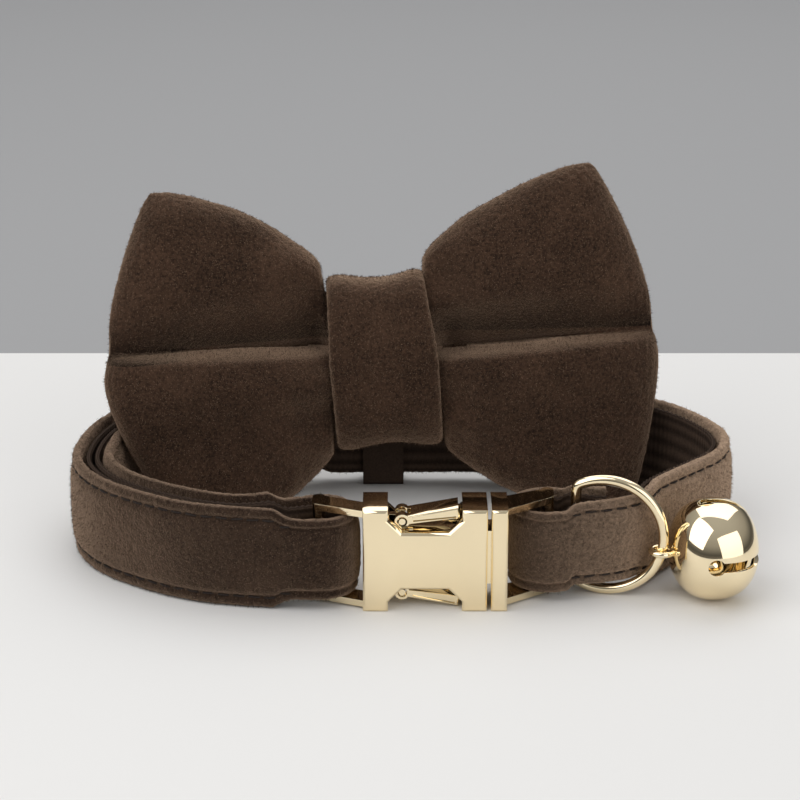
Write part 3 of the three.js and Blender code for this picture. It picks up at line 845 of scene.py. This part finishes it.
@dataclass
class Strap:
    """The velvet cover, the webbing inside it and the rows of stitches."""

    velvet_thick: float = 2.5
    webbing_thick: float = 1.1
    webbing_inset: float = 0.9
    plumpness: float = 0.25
    groove_depth: float = 0.75
    # the stitches' row and the width of its groove, as shares of half the height
    stitch_share: float = 0.79
    groove_width: float = 0.06
    stitch_length: float = 2.1
    stitch_pitch: float = 2.75
    thread: float = 0.42
    thread_sunk: float = 0.5
    seam_back: float = 2.2
    stitch_seed: int = 7
    rib_pitch: float = 1.05
    rib_depth: float = 0.13
    rib_notch: float = 0.22
    pile_count: int = 46000
    plan: LoopPlan = field(default_factory=LoopPlan)

    def build(self) -> None:
        """Makes the cover, the webbing and the stitches, and sets them in place of the CAD strap."""
        velvet = self.cover()
        webbing = self.webbing()
        stitches = self.stitches()
        # the cover's velvet, with painted sheen that lightens it towards the strap's right end
        dress(velvet, VelvetFinish(
            deep=(0.0165, 0.0100, 0.0070), lit=(0.070, 0.0418, 0.0276), painted_nap_sheen=1.25, nap_sheen_from=0.018
        ).make())
        dress(webbing, TapeFinish("webbing").make())
        dress(stitches, ThreadFinish().make())
        pile = dress(Pile().grow("strap_pile", velvet, self.pile_count, 3), velvet.data.materials[0])
        for obj in (velvet, webbing, stitches, pile):
            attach(obj, "collar")
        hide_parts("strap_velvet")
        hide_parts("strap_webbing")

    def _outer(self, level: np.ndarray) -> np.ndarray:
        """How far out the velvet's face stands at a share of half the height."""
        up = np.abs(level)
        groove = np.exp(-(((up - self.stitch_share) / self.groove_width) ** 2))
        return self.plumpness * (1 - up**2) - self.groove_depth * groove

    def cover(self) -> bpy.types.Object:
        """The velvet cover: a closed band with rolled edges and a groove along each row of stitches."""
        plan = self.plan
        ribbon = Ribbon(plan.whole[: plan.cover_count])
        out_face = plan.layer / 2
        in_face = out_face - self.velvet_thick

        def shape(u: np.ndarray, v: np.ndarray) -> np.ndarray:
            """Places in the drawing for arrays of u and v."""
            places, outward = ribbon.at(u)
            height, level = plan.strap_at(places)
            turn = 2 * math.pi * v
            up = -np.cos(turn)
            bulge = np.sign(np.sin(turn)) * np.abs(np.sin(turn)) ** 0.4
            thick = self.velvet_thick / 2 + np.where(bulge > 0, self._outer(up), 0)
            soft = ripple(np.stack([u * ribbon.length / 7, up * 1.3, bulge * 0.7], axis=1), 1.0, 3.0)
            out = (out_face + in_face) / 2 + bulge * thick + 0.16 * soft * np.abs(bulge)
            rise = up * (height / 2) * 0.99 + 0.12 * ripple(
                np.stack([u * ribbon.length / 9, up, up * 0], axis=1), 1.0, 8.0
            )
            flat = places + outward * out[:, None]
            return tufted(np.column_stack([flat, level + rise]), 31.0)

        return shaped_sheet("velvet_cover", 1000, 84, shape)

    def webbing(self) -> bpy.types.Object:
        """The ribbed tape inside the velvet, bare from the cover's end to the slider."""
        plan = self.plan
        ribbon = Ribbon(plan.whole)
        ribs = ribbon.length / self.rib_pitch
        inner = -plan.layer / 2

        def shape(u: np.ndarray, v: np.ndarray) -> np.ndarray:
            """Places in the drawing for arrays of u and v."""
            places, outward = ribbon.at(u)
            height, level = plan.strap_at(places)
            turn = 2 * math.pi * v
            up = -np.clip(np.cos(turn) * 1.06, -1, 1)
            side = np.sign(np.sin(turn)) * np.abs(np.sin(turn)) ** 0.25
            rib = 0.5 + 0.5 * np.cos(2 * math.pi * ribs * u)
            half = self.webbing_thick / 2
            out = inner + half + side * (half - self.rib_depth * (1 - rib))
            notch = self.rib_notch * (1 - rib) * np.abs(up) ** 8
            rise = up * (height / 2 - self.webbing_inset - notch)
            flat = places + outward * out[:, None]
            return np.column_stack([flat, level + rise])

        return shaped_sheet("webbing_tape", 1900, 24, shape)

    def _stitch(self, name: str) -> bpy.types.Object:
        """One stitch: a short thread with round ends, lying along X."""
        clear_selection()
        bpy.ops.mesh.primitive_uv_sphere_add(segments=8, ring_count=6, radius=self.thread / 2 * MM)
        obj = bpy.context.object
        obj.name = name
        places = coordinates(obj)[:, [2, 1, 0]] * np.array([1, 1, -1])
        places[:, 0] += np.sign(places[:, 0]) * (self.stitch_length - self.thread) / 2 * MM
        places[:, 2] -= 0.12 * MM * (np.abs(places[:, 0]) > self.stitch_length * 0.4 * MM)
        set_coordinates(obj, places)
        return obj

    def stitches(self) -> bpy.types.Object:
        """Both rows of stitches on the outer face, and the cross seam behind the plug."""
        plan = self.plan
        ribbon = Ribbon(plan.whole[: plan.cover_count])
        start = np.argmin(np.linalg.norm(ribbon.dense - plan.whole[plan.loop_span[0]], axis=1))
        stop = np.argmin(np.linalg.norm(ribbon.dense - plan.whole[plan.loop_span[1] - 1], axis=1))
        low, high = ribbon.run[start] + 1, ribbon.run[stop] - 1
        model = self._stitch("stitch")
        base = coordinates(model)
        parts = []
        lay = plan.layer / 2 - self.thread_sunk
        distances = np.arange(low, high, self.stitch_pitch)
        spots = []
        for row in Row:
            spots += [(d, row.value * self.stitch_share, 0.0) for d in distances]
        seam = low + plan.tail_length - self.seam_back
        for up in np.arange(-0.68, 0.7, self.stitch_pitch / (plan.ring_height / 2)):
            spots.append((seam, up, math.pi / 2))
        rng = np.random.default_rng(self.stitch_seed)
        for distance, up, turn in spots:
            share = np.array([distance / ribbon.length])
            place, outward = ribbon.at(share)
            height, level = plan.strap_at(place)
            out = np.array([*outward[0], 0.0])
            along = np.array([-outward[0][1], outward[0][0], 0.0])
            slant = 0.1 * rng.standard_normal() + turn
            rise = np.array([0.0, 0.0, 1.0])
            forward = along * math.cos(slant) + rise * math.sin(slant)
            sideways = np.cross(out, forward)
            centre = np.array([*place[0], level[0] + up * height[0] / 2 * 0.99]) + out * lay
            spot = (centre + OFFSET) * MM
            part = model.copy()
            part.data = model.data.copy()
            bpy.context.scene.collection.objects.link(part)
            set_coordinates(part, spot + base @ np.stack([forward, sideways, out]))
            parts.append(part)
        bpy.data.objects.remove(model)
        obj = joined("strap_stitches", parts)
        take(obj)
        bpy.ops.object.shade_smooth()
        return obj


# Bow


@dataclass
class Bow:
    """The padded bow, the band round its middle and the elastic behind it."""

    width: float = 105.4
    height: float = 69.0
    puff: float = 12.5
    centre: float = -3.3
    back: float = 53.4
    level: float = 29.8
    lean: float = 12.0
    tilt: float = 3.4
    yaw: float = 2.0
    left_bend: float = 9.5
    right_bend: float = 3.0
    crease: float = 8.8
    knot_width: float = 20.4
    knot_height: float = 32.5
    knot_drop: float = 1.0
    knot_depth: float = 16.0
    knot_thick: float = 2.4
    # along the wing and how high it is there, as shares of half the width and height
    wing: tuple[tuple[float, float], ...] = (
        (0, 0.33), (0.185, 0.37), (0.2, 0.51), (0.235, 0.59), (0.3, 0.67), (0.4, 0.775),
        (0.52, 0.865), (0.68, 0.94), (0.83, 0.985), (1, 1),
    )
    # how much the wings narrow to their corners: the upper ones, lower left and lower right
    taper: tuple[float, float, float] = (0.2, 0.32, 0.14)
    floor_softness: float = 1.4
    floor_gap: float = 0.4
    # strength of the painted shade above the fold
    painted_fold_shade: float = 0.95
    fold_above: float = 6.6
    fold_below: float = 1.1
    gathers: float = 0.75
    swells: float = 0.6
    ripples: float = 0.22
    puckers: float = 0.2
    seam_draw: float = 0.5
    pile_count: int = 46000
    knot_pile_count: int = 14000

    def build(self) -> None:
        """Makes the bow's pieces and sets them in place of the CAD ones."""
        # the wings' and band's velvet tones, with the colour of their painted sheen
        tones = {
            "deep": (0.0195, 0.0113, 0.0076), "lit": (0.104, 0.0580, 0.0368),
            "painted_rim_sheen": (0.46, 0.315, 0.21),
        }
        # the line above which the wings get their painted shade
        level = self.fold_at(0.0)
        slope = self.fold_at(1.0) - level
        wings = VelvetFinish(
            "bow_velvet", painted_fold_shade=self.painted_fold_shade, fold_level=level, fold_slope=slope, **tones,
        )
        body = dress(self.body(), wings.make())
        knot = dress(self.knot(), VelvetFinish("knot_velvet", **tones).make())
        for obj, slot, node in ((body, "velvet", "bow_body"), (knot, "velvet", "bow_knot")):
            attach(obj, "collar")
            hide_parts(node)
        for ground, name, count, seed in (
            (body, "bow_pile", self.pile_count, 5), (knot, "knot_pile", self.knot_pile_count, 6),
        ):
            pile = dress(Pile().grow(name, ground, count, seed), ground.data.materials[0])
            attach(pile, "collar")
        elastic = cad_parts["bow_elastic"]
        dress(elastic, TapeFinish("elastic").make())

    def place(self, points: np.ndarray) -> np.ndarray:
        """Leans points of the upright bow back into their place, soft where they meet the floor.

        Args:
            points: rows of three numbers in the bow's own axes.

        Returns:
            The rows in the drawing's axes.
        """
        x, y, z = points.T
        t = math.radians(-self.tilt)
        x, z = x * math.cos(t) + z * math.sin(t), -x * math.sin(t) + z * math.cos(t)
        t = math.radians(-self.lean)
        y, z = y * math.cos(t) - z * math.sin(t), y * math.sin(t) + z * math.cos(t)
        t = math.radians(self.yaw)
        x, y = x * math.cos(t) - y * math.sin(t), x * math.sin(t) + y * math.cos(t)
        x, y, z = x + self.centre, y + self.back, z + self.level
        soft, gap = self.floor_softness, self.floor_gap
        pressed = soft * np.log1p(np.exp(np.minimum(z - gap, 30) / soft)) + gap
        return np.column_stack([x, y, np.where(z > 12, z, pressed)])

    def fold_at(self, x: float) -> float:
        """Height in metres of the fold's line, x metres right of the frame's middle."""
        ends = self.place(np.array([[-0.35 * self.width, -7.5, 3.2], [0.35 * self.width, -7.5, 1.7]]))
        (x1, _, z1), (x2, _, z2) = (ends + OFFSET) * MM
        return float(z1 + (x - x1) * (z2 - z1) / (x2 - x1))

    def wing_height(self, along: np.ndarray) -> np.ndarray:
        """Share of the half height at a share of the way out along a wing."""
        steps = np.array(self.wing)
        far = np.clip(np.abs(along), 0, 1)
        fine = through(steps, 20)
        return np.interp(far, fine[:, 0], fine[:, 1])

    def body(self) -> bpy.types.Object:
        """The padded bow: two wings with a deep fold, a seam round the edge and gathers."""

        def shape(u: np.ndarray, v: np.ndarray) -> np.ndarray:
            """Places in the drawing for arrays of u and v."""
            along = np.sin(math.pi / 2 * (2 * u - 1) * 0.995)
            turn = 2 * math.pi * v
            high = -np.cos(turn)
            face = np.where(v < 0.5, -1.0, 1.0)
            far = np.abs(along)
            low_taper = np.where(along < 0, self.taper[1], self.taper[2])
            edge = 1 - np.where(high > 0, self.taper[0], low_taper) * np.abs(high) ** 1.7
            x = self.width / 2 * along * lerp(1, edge, far**2)
            # the right wing's upper edge rises nearer the knot
            nearer = 0.035 * (along > 0) * smooth(high, -0.2, 0.6) * (1 - smooth(far, 0.3, 0.5))
            wing = self.wing_height(far + nearer)
            z = self.height / 2 * wing * high
            rim_high = np.sqrt(np.maximum(1 - np.abs(high) ** 18, 0))
            rim_far = np.sqrt(np.maximum(1 - far**13, 0))
            crown = (1 - 0.5 * np.abs(high) ** 3) * (1 - 0.38 * far**4)
            pinch = 1 - 0.3 * (1 - smooth(far, 0.18, 0.4))
            puff = self.puff / 2 * 1.08 * pinch * crown * rim_high * rim_far
            reach = smooth(far, 0.12, 0.26)
            left = along < 0
            middle = np.where(left, 2.3 + 2.6 * far, 0.4 + 1.6 * far)
            drop = z - middle
            gentle = np.exp(-((np.abs(drop) / self.fold_above) ** 1.6))
            valley = np.where(drop > 0, gentle, np.exp(-((drop / self.fold_below) ** 2)))
            overhang = np.exp(-(((drop + 7) / 6) ** 2)) * (1 - 0.5 * smooth(far, 0.5, 1))
            depth = self.crease * reach * (1 - 0.55 * smooth(far, 0.55, 1)) * rim_far
            knotwards = np.exp(-np.maximum(far - 0.2, 0) / 0.16) * reach
            gather = knotwards * np.sin(drop * 0.55 + 1.3 * np.sin(x * 0.11) + np.where(left, 0.6, 2.1))
            front = face < 0
            soft = ripple(np.column_stack([x / 21, face * 2.0, z / 15]), 1.0, 5.0)
            small = ripple(np.column_stack([x / 6, face * 3.0, z / 6]), 1.0, 11.0)
            border = np.minimum(
                (1 - np.abs(high)) * self.height / 2 * wing, (1 - far) * self.width / 2,
            )
            round_edge = np.where(np.abs(high) > far, x, z)
            pucker = np.exp(-border / 3.5) * np.sin(round_edge * 1.3 + 2 * np.sin(round_edge * 0.31))
            y = puff - np.where(front, depth * valley - 1.3 * overhang * reach, 0.15 * depth * valley)
            y += rim_high * rim_far * (
                self.gathers * gather + self.swells * soft + self.ripples * small
                + self.puckers * pucker
            )
            # the seam draws the edge in, and the lobes part a little at the tip
            seam = np.exp(-((y / 0.55) ** 2)) * smooth(np.maximum(np.abs(high), far), 0.9, 1)
            z = z - np.where(front & (drop > 0), 0.2 * depth * np.exp(-(((drop - 2.5) / 2.5) ** 2)), 0)
            dent = 0.6 * np.exp(-((drop / 3.5) ** 2)) * smooth(far, 0.9, 1)
            x = x - np.sign(x) * (self.seam_draw * seam * smooth(far, 0.9, 1) + dent)
            z = z - np.sign(z) * 0.55 * seam * smooth(np.abs(high), 0.9, 1)
            out = 2 * x / self.width
            bend = out**2 * np.where(left, self.left_bend * (1 - 0.4 * high), self.right_bend)
            points = np.column_stack([x, face * y - bend, z])
            return self.place(tufted(points, 47.0))

        return shaped_sheet("bow_cushion", 330, 250, shape)

    def knot(self) -> bpy.types.Object:
        """The band round the middle, its edges turned in and its face softly folded."""
        section = np.array([
            (0.34, -0.02), (0.42, 0.02), (0.49, 0.22), (0.505, 0.55), (0.47, 0.86), (0.36, 1.02),
            (0.18, 1.07), (0, 1.1), (-0.18, 1.07), (-0.36, 1.02), (-0.47, 0.86), (-0.505, 0.55),
            (-0.49, 0.22), (-0.42, 0.02), (-0.34, -0.02),
        ])
        fine = through(np.vstack([section, section[:1]]), 8)

        def shape(u: np.ndarray, v: np.ndarray) -> np.ndarray:
            """Places in the drawing for arrays of u and v."""
            turn = 2 * math.pi * u
            c, s = np.cos(turn), np.sin(turn)
            rows = v * (len(fine) - 1)
            across = np.interp(rows, np.arange(len(fine)), fine[:, 0])
            out = np.interp(rows, np.arange(len(fine)), fine[:, 1])
            oval = (np.abs(c) ** 3 + np.abs(s) ** 3) ** (-1 / 3)
            grow = out * self.knot_thick
            fold = ripple(np.column_stack([across * 2.2, s * 0.9, c * 0.9]), 1.0, 21.0)
            grow = grow + np.clip(out, 0, 1) * 0.35 * fold
            waist = 1 - 0.045 * np.cos(across * 2 * math.pi) * np.abs(s) ** 4
            # the right edge leans in towards the top
            side = np.where(across > 0, 1 - 0.15 * smooth(s, -0.1, 1.0), 1 - 0.05 * np.abs(s))
            x = self.knot_width * across * side
            y = (self.knot_depth / 2 - self.knot_thick + grow) * c * oval
            z = (self.knot_height / 2 - self.knot_thick + grow) * s * oval * waist - self.knot_drop
            return self.place(tufted(np.column_stack([x, y, z]), 83.0))

        return shaped_sheet("bow_band", 260, 144, shape)


# Metal


@dataclass
class Buckle:
    """The side release buckle's two halves and its levers, their edges rounded and polished."""

    edge: float = 0.16

    def build(self, gold: bpy.types.Material) -> None:
        """Rounds the edges of each cast part and sets it in place of its CAD node."""
        for node, body in (
            ("buckle_socket", "collar"),
            ("buckle_plug", "collar"),
            ("lever_top", "lever_top"),
            ("lever_bottom", "lever_bottom"),
        ):
            obj = dress(self.polished(node, join_flats="lever" not in node), gold)
            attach(obj, body)
            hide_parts(node)

    def polished(self, node: str, join_flats: bool = True) -> bpy.types.Object:
        """A copy of a cast part with small rounded edges.

        Args:
            node: the CAD node.
            join_flats: whether its flat faces are joined up first.

        Returns:
            The copy.
        """
        obj = copy_of(node, f"{node}_cast", join_flats)
        modifier(
            obj, "BEVEL", width=self.edge * MM, segments=2, limit_method="ANGLE",
            angle_limit=math.radians(32),
        )
        take(obj)
        bpy.ops.object.shade_smooth_by_angle(angle=math.radians(20))
        return obj


@dataclass
class Slider:
    """The strap slider on the back stretch."""

    def build(self, gold: bpy.types.Material) -> None:
        """Polishes the slider like the buckle."""
        obj = dress(Buckle().polished("slider"), gold)
        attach(obj, "collar")
        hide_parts("slider")


@dataclass
class RingAndBell:
    """The round ring with its straight bar, and the bell that hangs on it."""

    outer: float = 22.6
    wire: float = 1.9
    bar_offset: float = 5.4
    turn: float = 12.0
    bell_turn: float = 8.0
    bell_drop: float = 13.0
    bell_diameter: float = 18.2
    bell_length: float = 15.4
    bell_wall: float = 0.7
    slit_width: float = 1.8
    slit_end: float = 3.0
    slit_start: float = -1.6
    slit_bevel: float = 0.12
    shank_wire: float = 1.1
    gap: float = 0.3

    def build(self, gold: bpy.types.Material) -> None:
        """Makes the ring and the bell and sets them in place of the CAD ones."""
        ring = dress(self.ring(), gold)
        bell = dress(self.bell(), gold)
        for obj, node in ((ring, "d_ring"), (bell, "bell")):
            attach(obj, "ring")
            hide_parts(node)

    def _seat(self, obj: bpy.types.Object) -> bpy.types.Object:
        """Turns a piece made about the ring's bar into its place."""
        a = math.radians(-self.turn)
        turn = np.array([[math.cos(a), math.sin(a), 0], [-math.sin(a), math.cos(a), 0], [0, 0, 1]])
        set_coordinates(obj, (coordinates(obj) @ turn) + np.array(RING_PLACE) * MM)
        return obj

    def ring(self) -> bpy.types.Object:
        """The ring's wire, bent round and closed by its straight bar."""
        radius = (self.outer - self.wire) / 2
        half = math.acos(-self.bar_offset / radius)
        arc = np.linspace(-half, half, 140)
        round_part = np.column_stack([self.bar_offset + radius * np.cos(arc), radius * np.sin(arc)])
        top = round_part[-1]
        bar = np.column_stack([np.zeros(30), np.linspace(top[1], -top[1], 32)[1:-1]])
        path = np.vstack([round_part, bar, round_part[:1]])
        # soften the two corners
        for _ in range(4):
            inner = path[:-1]
            path = (np.roll(inner, 1, axis=0) + 2 * inner + np.roll(inner, -1, axis=0)) / 4
            path = np.vstack([path, path[:1]])
        count = len(path) - 1
        ahead = np.roll(path[:-1], -1, axis=0) - np.roll(path[:-1], 1, axis=0)
        ahead /= np.linalg.norm(ahead, axis=1, keepdims=True)

        def shape(u: np.ndarray, v: np.ndarray) -> np.ndarray:
            """Places in the drawing for arrays of u and v."""
            index = np.round(u * count).astype(int) % count
            turn = 2 * math.pi * v
            side = self.wire / 2 * np.cos(turn)
            spot = path[index]
            x = spot[:, 0] + ahead[index, 1] * side
            z = spot[:, 1] - ahead[index, 0] * side
            return np.column_stack([x, self.wire / 2 * np.sin(turn), z]) - OFFSET

        return self._seat(shaped_sheet("ring_wire", count, 24, shape))

    def _profile(self, shrink: float, sphere: np.ndarray) -> np.ndarray:
        """Moves the points of a unit sphere onto the bell's form, its poles on X."""
        x, y, z = np.clip(sphere, -1, 1).T
        wide = np.hypot(y, z)
        angle = np.arctan2(x, wide)
        reach = np.maximum(np.cos(angle), 0) ** 0.8
        length = np.sign(np.sin(angle)) * np.abs(np.sin(angle)) ** 0.9
        safe = np.maximum(wide, 1e-9)
        radius = (self.bell_diameter / 2 - shrink) * reach
        return np.column_stack([
            (self.bell_length / 2 - shrink) * length, radius * y / safe, radius * z / safe,
        ])

    def _shell(self, name: str, shrink: float) -> bpy.types.Object:
        """One closed surface of the bell."""
        clear_selection()
        bpy.ops.mesh.primitive_uv_sphere_add(segments=96, ring_count=48, radius=1)
        obj = bpy.context.object
        obj.name = name
        unit = coordinates(obj)[:, [2, 1, 0]] * np.array([1, 1, -1])
        set_coordinates(obj, self._profile(shrink, unit) * MM)
        return obj

    def _cutter(self, turn: float) -> bpy.types.Object:
        """One slit's cutter: a blade across the bell's end with a round hole at each end of the slit."""
        size = (self.bell_length, self.slit_width, self.bell_diameter + 1)
        clear_selection()
        middle = (self.slit_start + self.bell_length / 2) * MM
        bpy.ops.mesh.primitive_cube_add(size=1, location=(middle, 0, 0))
        blade = bpy.context.object
        blade.scale = [s * MM for s in size]
        settled(blade)
        clear_selection()
        bpy.ops.mesh.primitive_cylinder_add(
            vertices=48, radius=self.slit_end / 2 * MM, depth=(self.bell_diameter + 1.4) * MM,
            location=(self.slit_start * MM, 0, 0),
        )
        hole = settled(bpy.context.object)
        self._boolean(blade, hole, "UNION")
        c, s = math.cos(turn), math.sin(turn)
        spin = np.array([[1, 0, 0], [0, c, s], [0, -s, c]])
        set_coordinates(blade, coordinates(blade) @ spin)
        return blade

    def _boolean(self, obj: bpy.types.Object, other: bpy.types.Object, operation: str) -> None:
        """Joins or cuts with another closed mesh, which is then removed."""
        modifier(obj, "BOOLEAN", object=other, operation=operation, solver="EXACT")
        bpy.data.objects.remove(other)

    def bell(self) -> bpy.types.Object:
        """The bell's hollow shell with crossed slits and its wire shank."""
        obj = self._shell("bell_shell", 0.0)
        self._boolean(obj, self._shell("bell_inside", self.bell_wall), "DIFFERENCE")
        for turn in (0.0, math.pi / 2):
            self._boolean(obj, self._cutter(turn), "DIFFERENCE")
        modifier(
            obj, "BEVEL", width=self.slit_bevel * MM, segments=2,
            limit_method="ANGLE", angle_limit=math.radians(40),
        )
        shank_radius = self.wire / 2 + self.gap + 0.1 + self.shank_wire / 2
        clear_selection()
        bpy.ops.mesh.primitive_torus_add(
            major_radius=shank_radius * MM, minor_radius=self.shank_wire / 2 * MM,
            major_segments=64, minor_segments=20,
            location=((-self.bell_length / 2 - shank_radius + self.shank_wire * 0.3) * MM, 0, 0),
        )
        shank = settled(bpy.context.object)
        obj = joined("bell_round", [obj, shank])
        take(obj)
        bpy.ops.object.shade_smooth_by_angle(angle=math.radians(30))
        radius = (self.outer - self.wire) / 2
        angle = math.radians(self.turn + self.bell_turn)
        reach = self.bell_length / 2 + shank_radius - self.shank_wire * 0.3
        drop = math.radians(self.bell_drop)
        c, s = math.cos(angle), math.sin(angle)
        spin = np.array([[c, s, 0], [-s, c, 0], [0, 0, 1]])
        centre = np.array([
            self.bar_offset + radius * math.cos(drop) + reach * c, reach * s, -radius * math.sin(drop),
        ])
        set_coordinates(obj, coordinates(obj) @ spin + centre * MM)
        return self._seat(obj)


# Setting


@dataclass(frozen=True)
class Softbox:
    """One square soft light: its name, its place in metres and its power in watts."""

    name: str
    place: tuple[float, float, float]
    power: float
    size: float = 0.9

    def build(self) -> None:
        """Sets the light and aims it at the collar."""
        clear_selection()
        bpy.ops.object.light_add(type="AREA", location=self.place)
        lamp = bpy.context.object
        lamp.name = self.name
        lamp.data.size = self.size
        lamp.data.energy = self.power
        aim = Vector((0, 0, 0.02)) - Vector(self.place)
        lamp.rotation_euler = aim.to_track_quat("-Z", "Y").to_euler()


@dataclass(frozen=True)
class Board:
    """One flat surface of the setting, between two places along Y."""

    name: str
    start: float
    end: float
    level: float
    colour: tuple[float, float, float]
    width: float = 6.0

    def build(self) -> bpy.types.Object:
        """Makes the surface and gives it its plain finish."""
        clear_selection()
        bpy.ops.mesh.primitive_plane_add(
            size=1, location=(0, (self.start + self.end) / 2, self.level),
        )
        obj = bpy.context.object
        obj.name = obj.data.name = self.name
        obj.scale = (self.width, self.end - self.start, 1)
        return dress(settled(obj), SurfaceFinish(self.name, self.colour).make())


@dataclass
class Studio:
    """The pale table, the grey backdrop, the soft lights and the camera."""

    table_edge: float = 0.111
    softboxes: tuple[Softbox, ...] = (
        Softbox("key_softbox", (-0.5, -0.3, 0.6), 4.2),
        Softbox("fill_softbox", (0.6, -0.7, 0.4), 3.2),
        Softbox("back_softbox", (0.1, 0.45, 0.7), 3.4),
    )
    # grey of the light from all round, from below to above
    around_low: tuple[float, float, float] = (0.30, 0.29, 0.28)
    around_steps: tuple[tuple[float, float], ...] = ((0.12, 0.16), (0.45, 0.62))
    around_high: tuple[float, float, float] = (0.95, 0.96, 0.98)
    around_strength: float = 0.46
    camera_place: tuple[float, float, float] = (-0.001181, -0.425714, 0.1786)
    camera_down: float = 19.5
    lens: float = 110.25

    def build(self) -> None:
        """Sets the table, backdrop, lights and camera."""
        bpy.context.scene.view_settings.view_transform = "Standard"
        edge = self.table_edge
        table = Board("table", -1.6, edge, 0.0, (0.80, 0.79, 0.775)).build()
        backdrop = Board("backdrop", edge, 3.0, -0.004, (0.36, 0.36, 0.365)).build()
        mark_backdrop(table, backdrop)
        self._world()
        for softbox in self.softboxes:
            softbox.build()
        self._camera()

    def _world(self) -> None:
        """Even pale light from all round."""
        world = bpy.data.worlds.new("studio")
        bpy.context.scene.world = world
        world.use_nodes = True
        nodes, links = world.node_tree.nodes, world.node_tree.links
        around = nodes.new("ShaderNodeTexCoord")
        height = nodes.new("ShaderNodeSeparateXYZ")
        ramp = nodes.new("ShaderNodeValToRGB")
        for place, shade in self.around_steps:
            ramp.color_ramp.elements.new(place).color = (shade, shade * 0.99, shade * 0.98, 1)
        ramp.color_ramp.elements[0].color = (*self.around_low, 1)
        ramp.color_ramp.elements[-1].color = (*self.around_high, 1)
        links.new(around.outputs["Generated"], height.inputs[0])
        links.new(height.outputs["Z"], ramp.inputs[0])
        links.new(ramp.outputs[0], nodes["Background"].inputs["Color"])
        nodes["Background"].inputs["Strength"].default_value = self.around_strength

    def _camera(self) -> None:
        """The camera at the photograph's angle."""
        clear_selection()
        tilt = math.radians(90 - self.camera_down)
        bpy.ops.object.camera_add(location=self.camera_place, rotation=(tilt, 0, 0))
        camera = bpy.context.object
        camera.data.lens = self.lens
        camera.data.sensor_width = 36.0
        camera.data.clip_start = 0.01
        bpy.context.scene.camera = camera


def main() -> None:
    """Builds the collar piece by piece and sets the studio round it."""
    logging.basicConfig(level=logging.INFO, format="%(message)s")
    gold = GoldFinish().make()
    jobs: tuple[tuple[str, Callable[[], None]], ...] = (
        ("strap", Strap().build),
        ("bow", Bow().build),
        ("buckle", lambda: Buckle().build(gold)),
        ("slider", lambda: Slider().build(gold)),
        ("ring and bell", lambda: RingAndBell().build(gold)),
        ("studio", Studio().build),
    )
    for name, build in jobs:
        build()
        log.info("built the %s", name)
    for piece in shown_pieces():
        log.info("piece %s, %d faces", piece.name, len(piece.data.polygons))


if __name__ == "__main__":
    main()
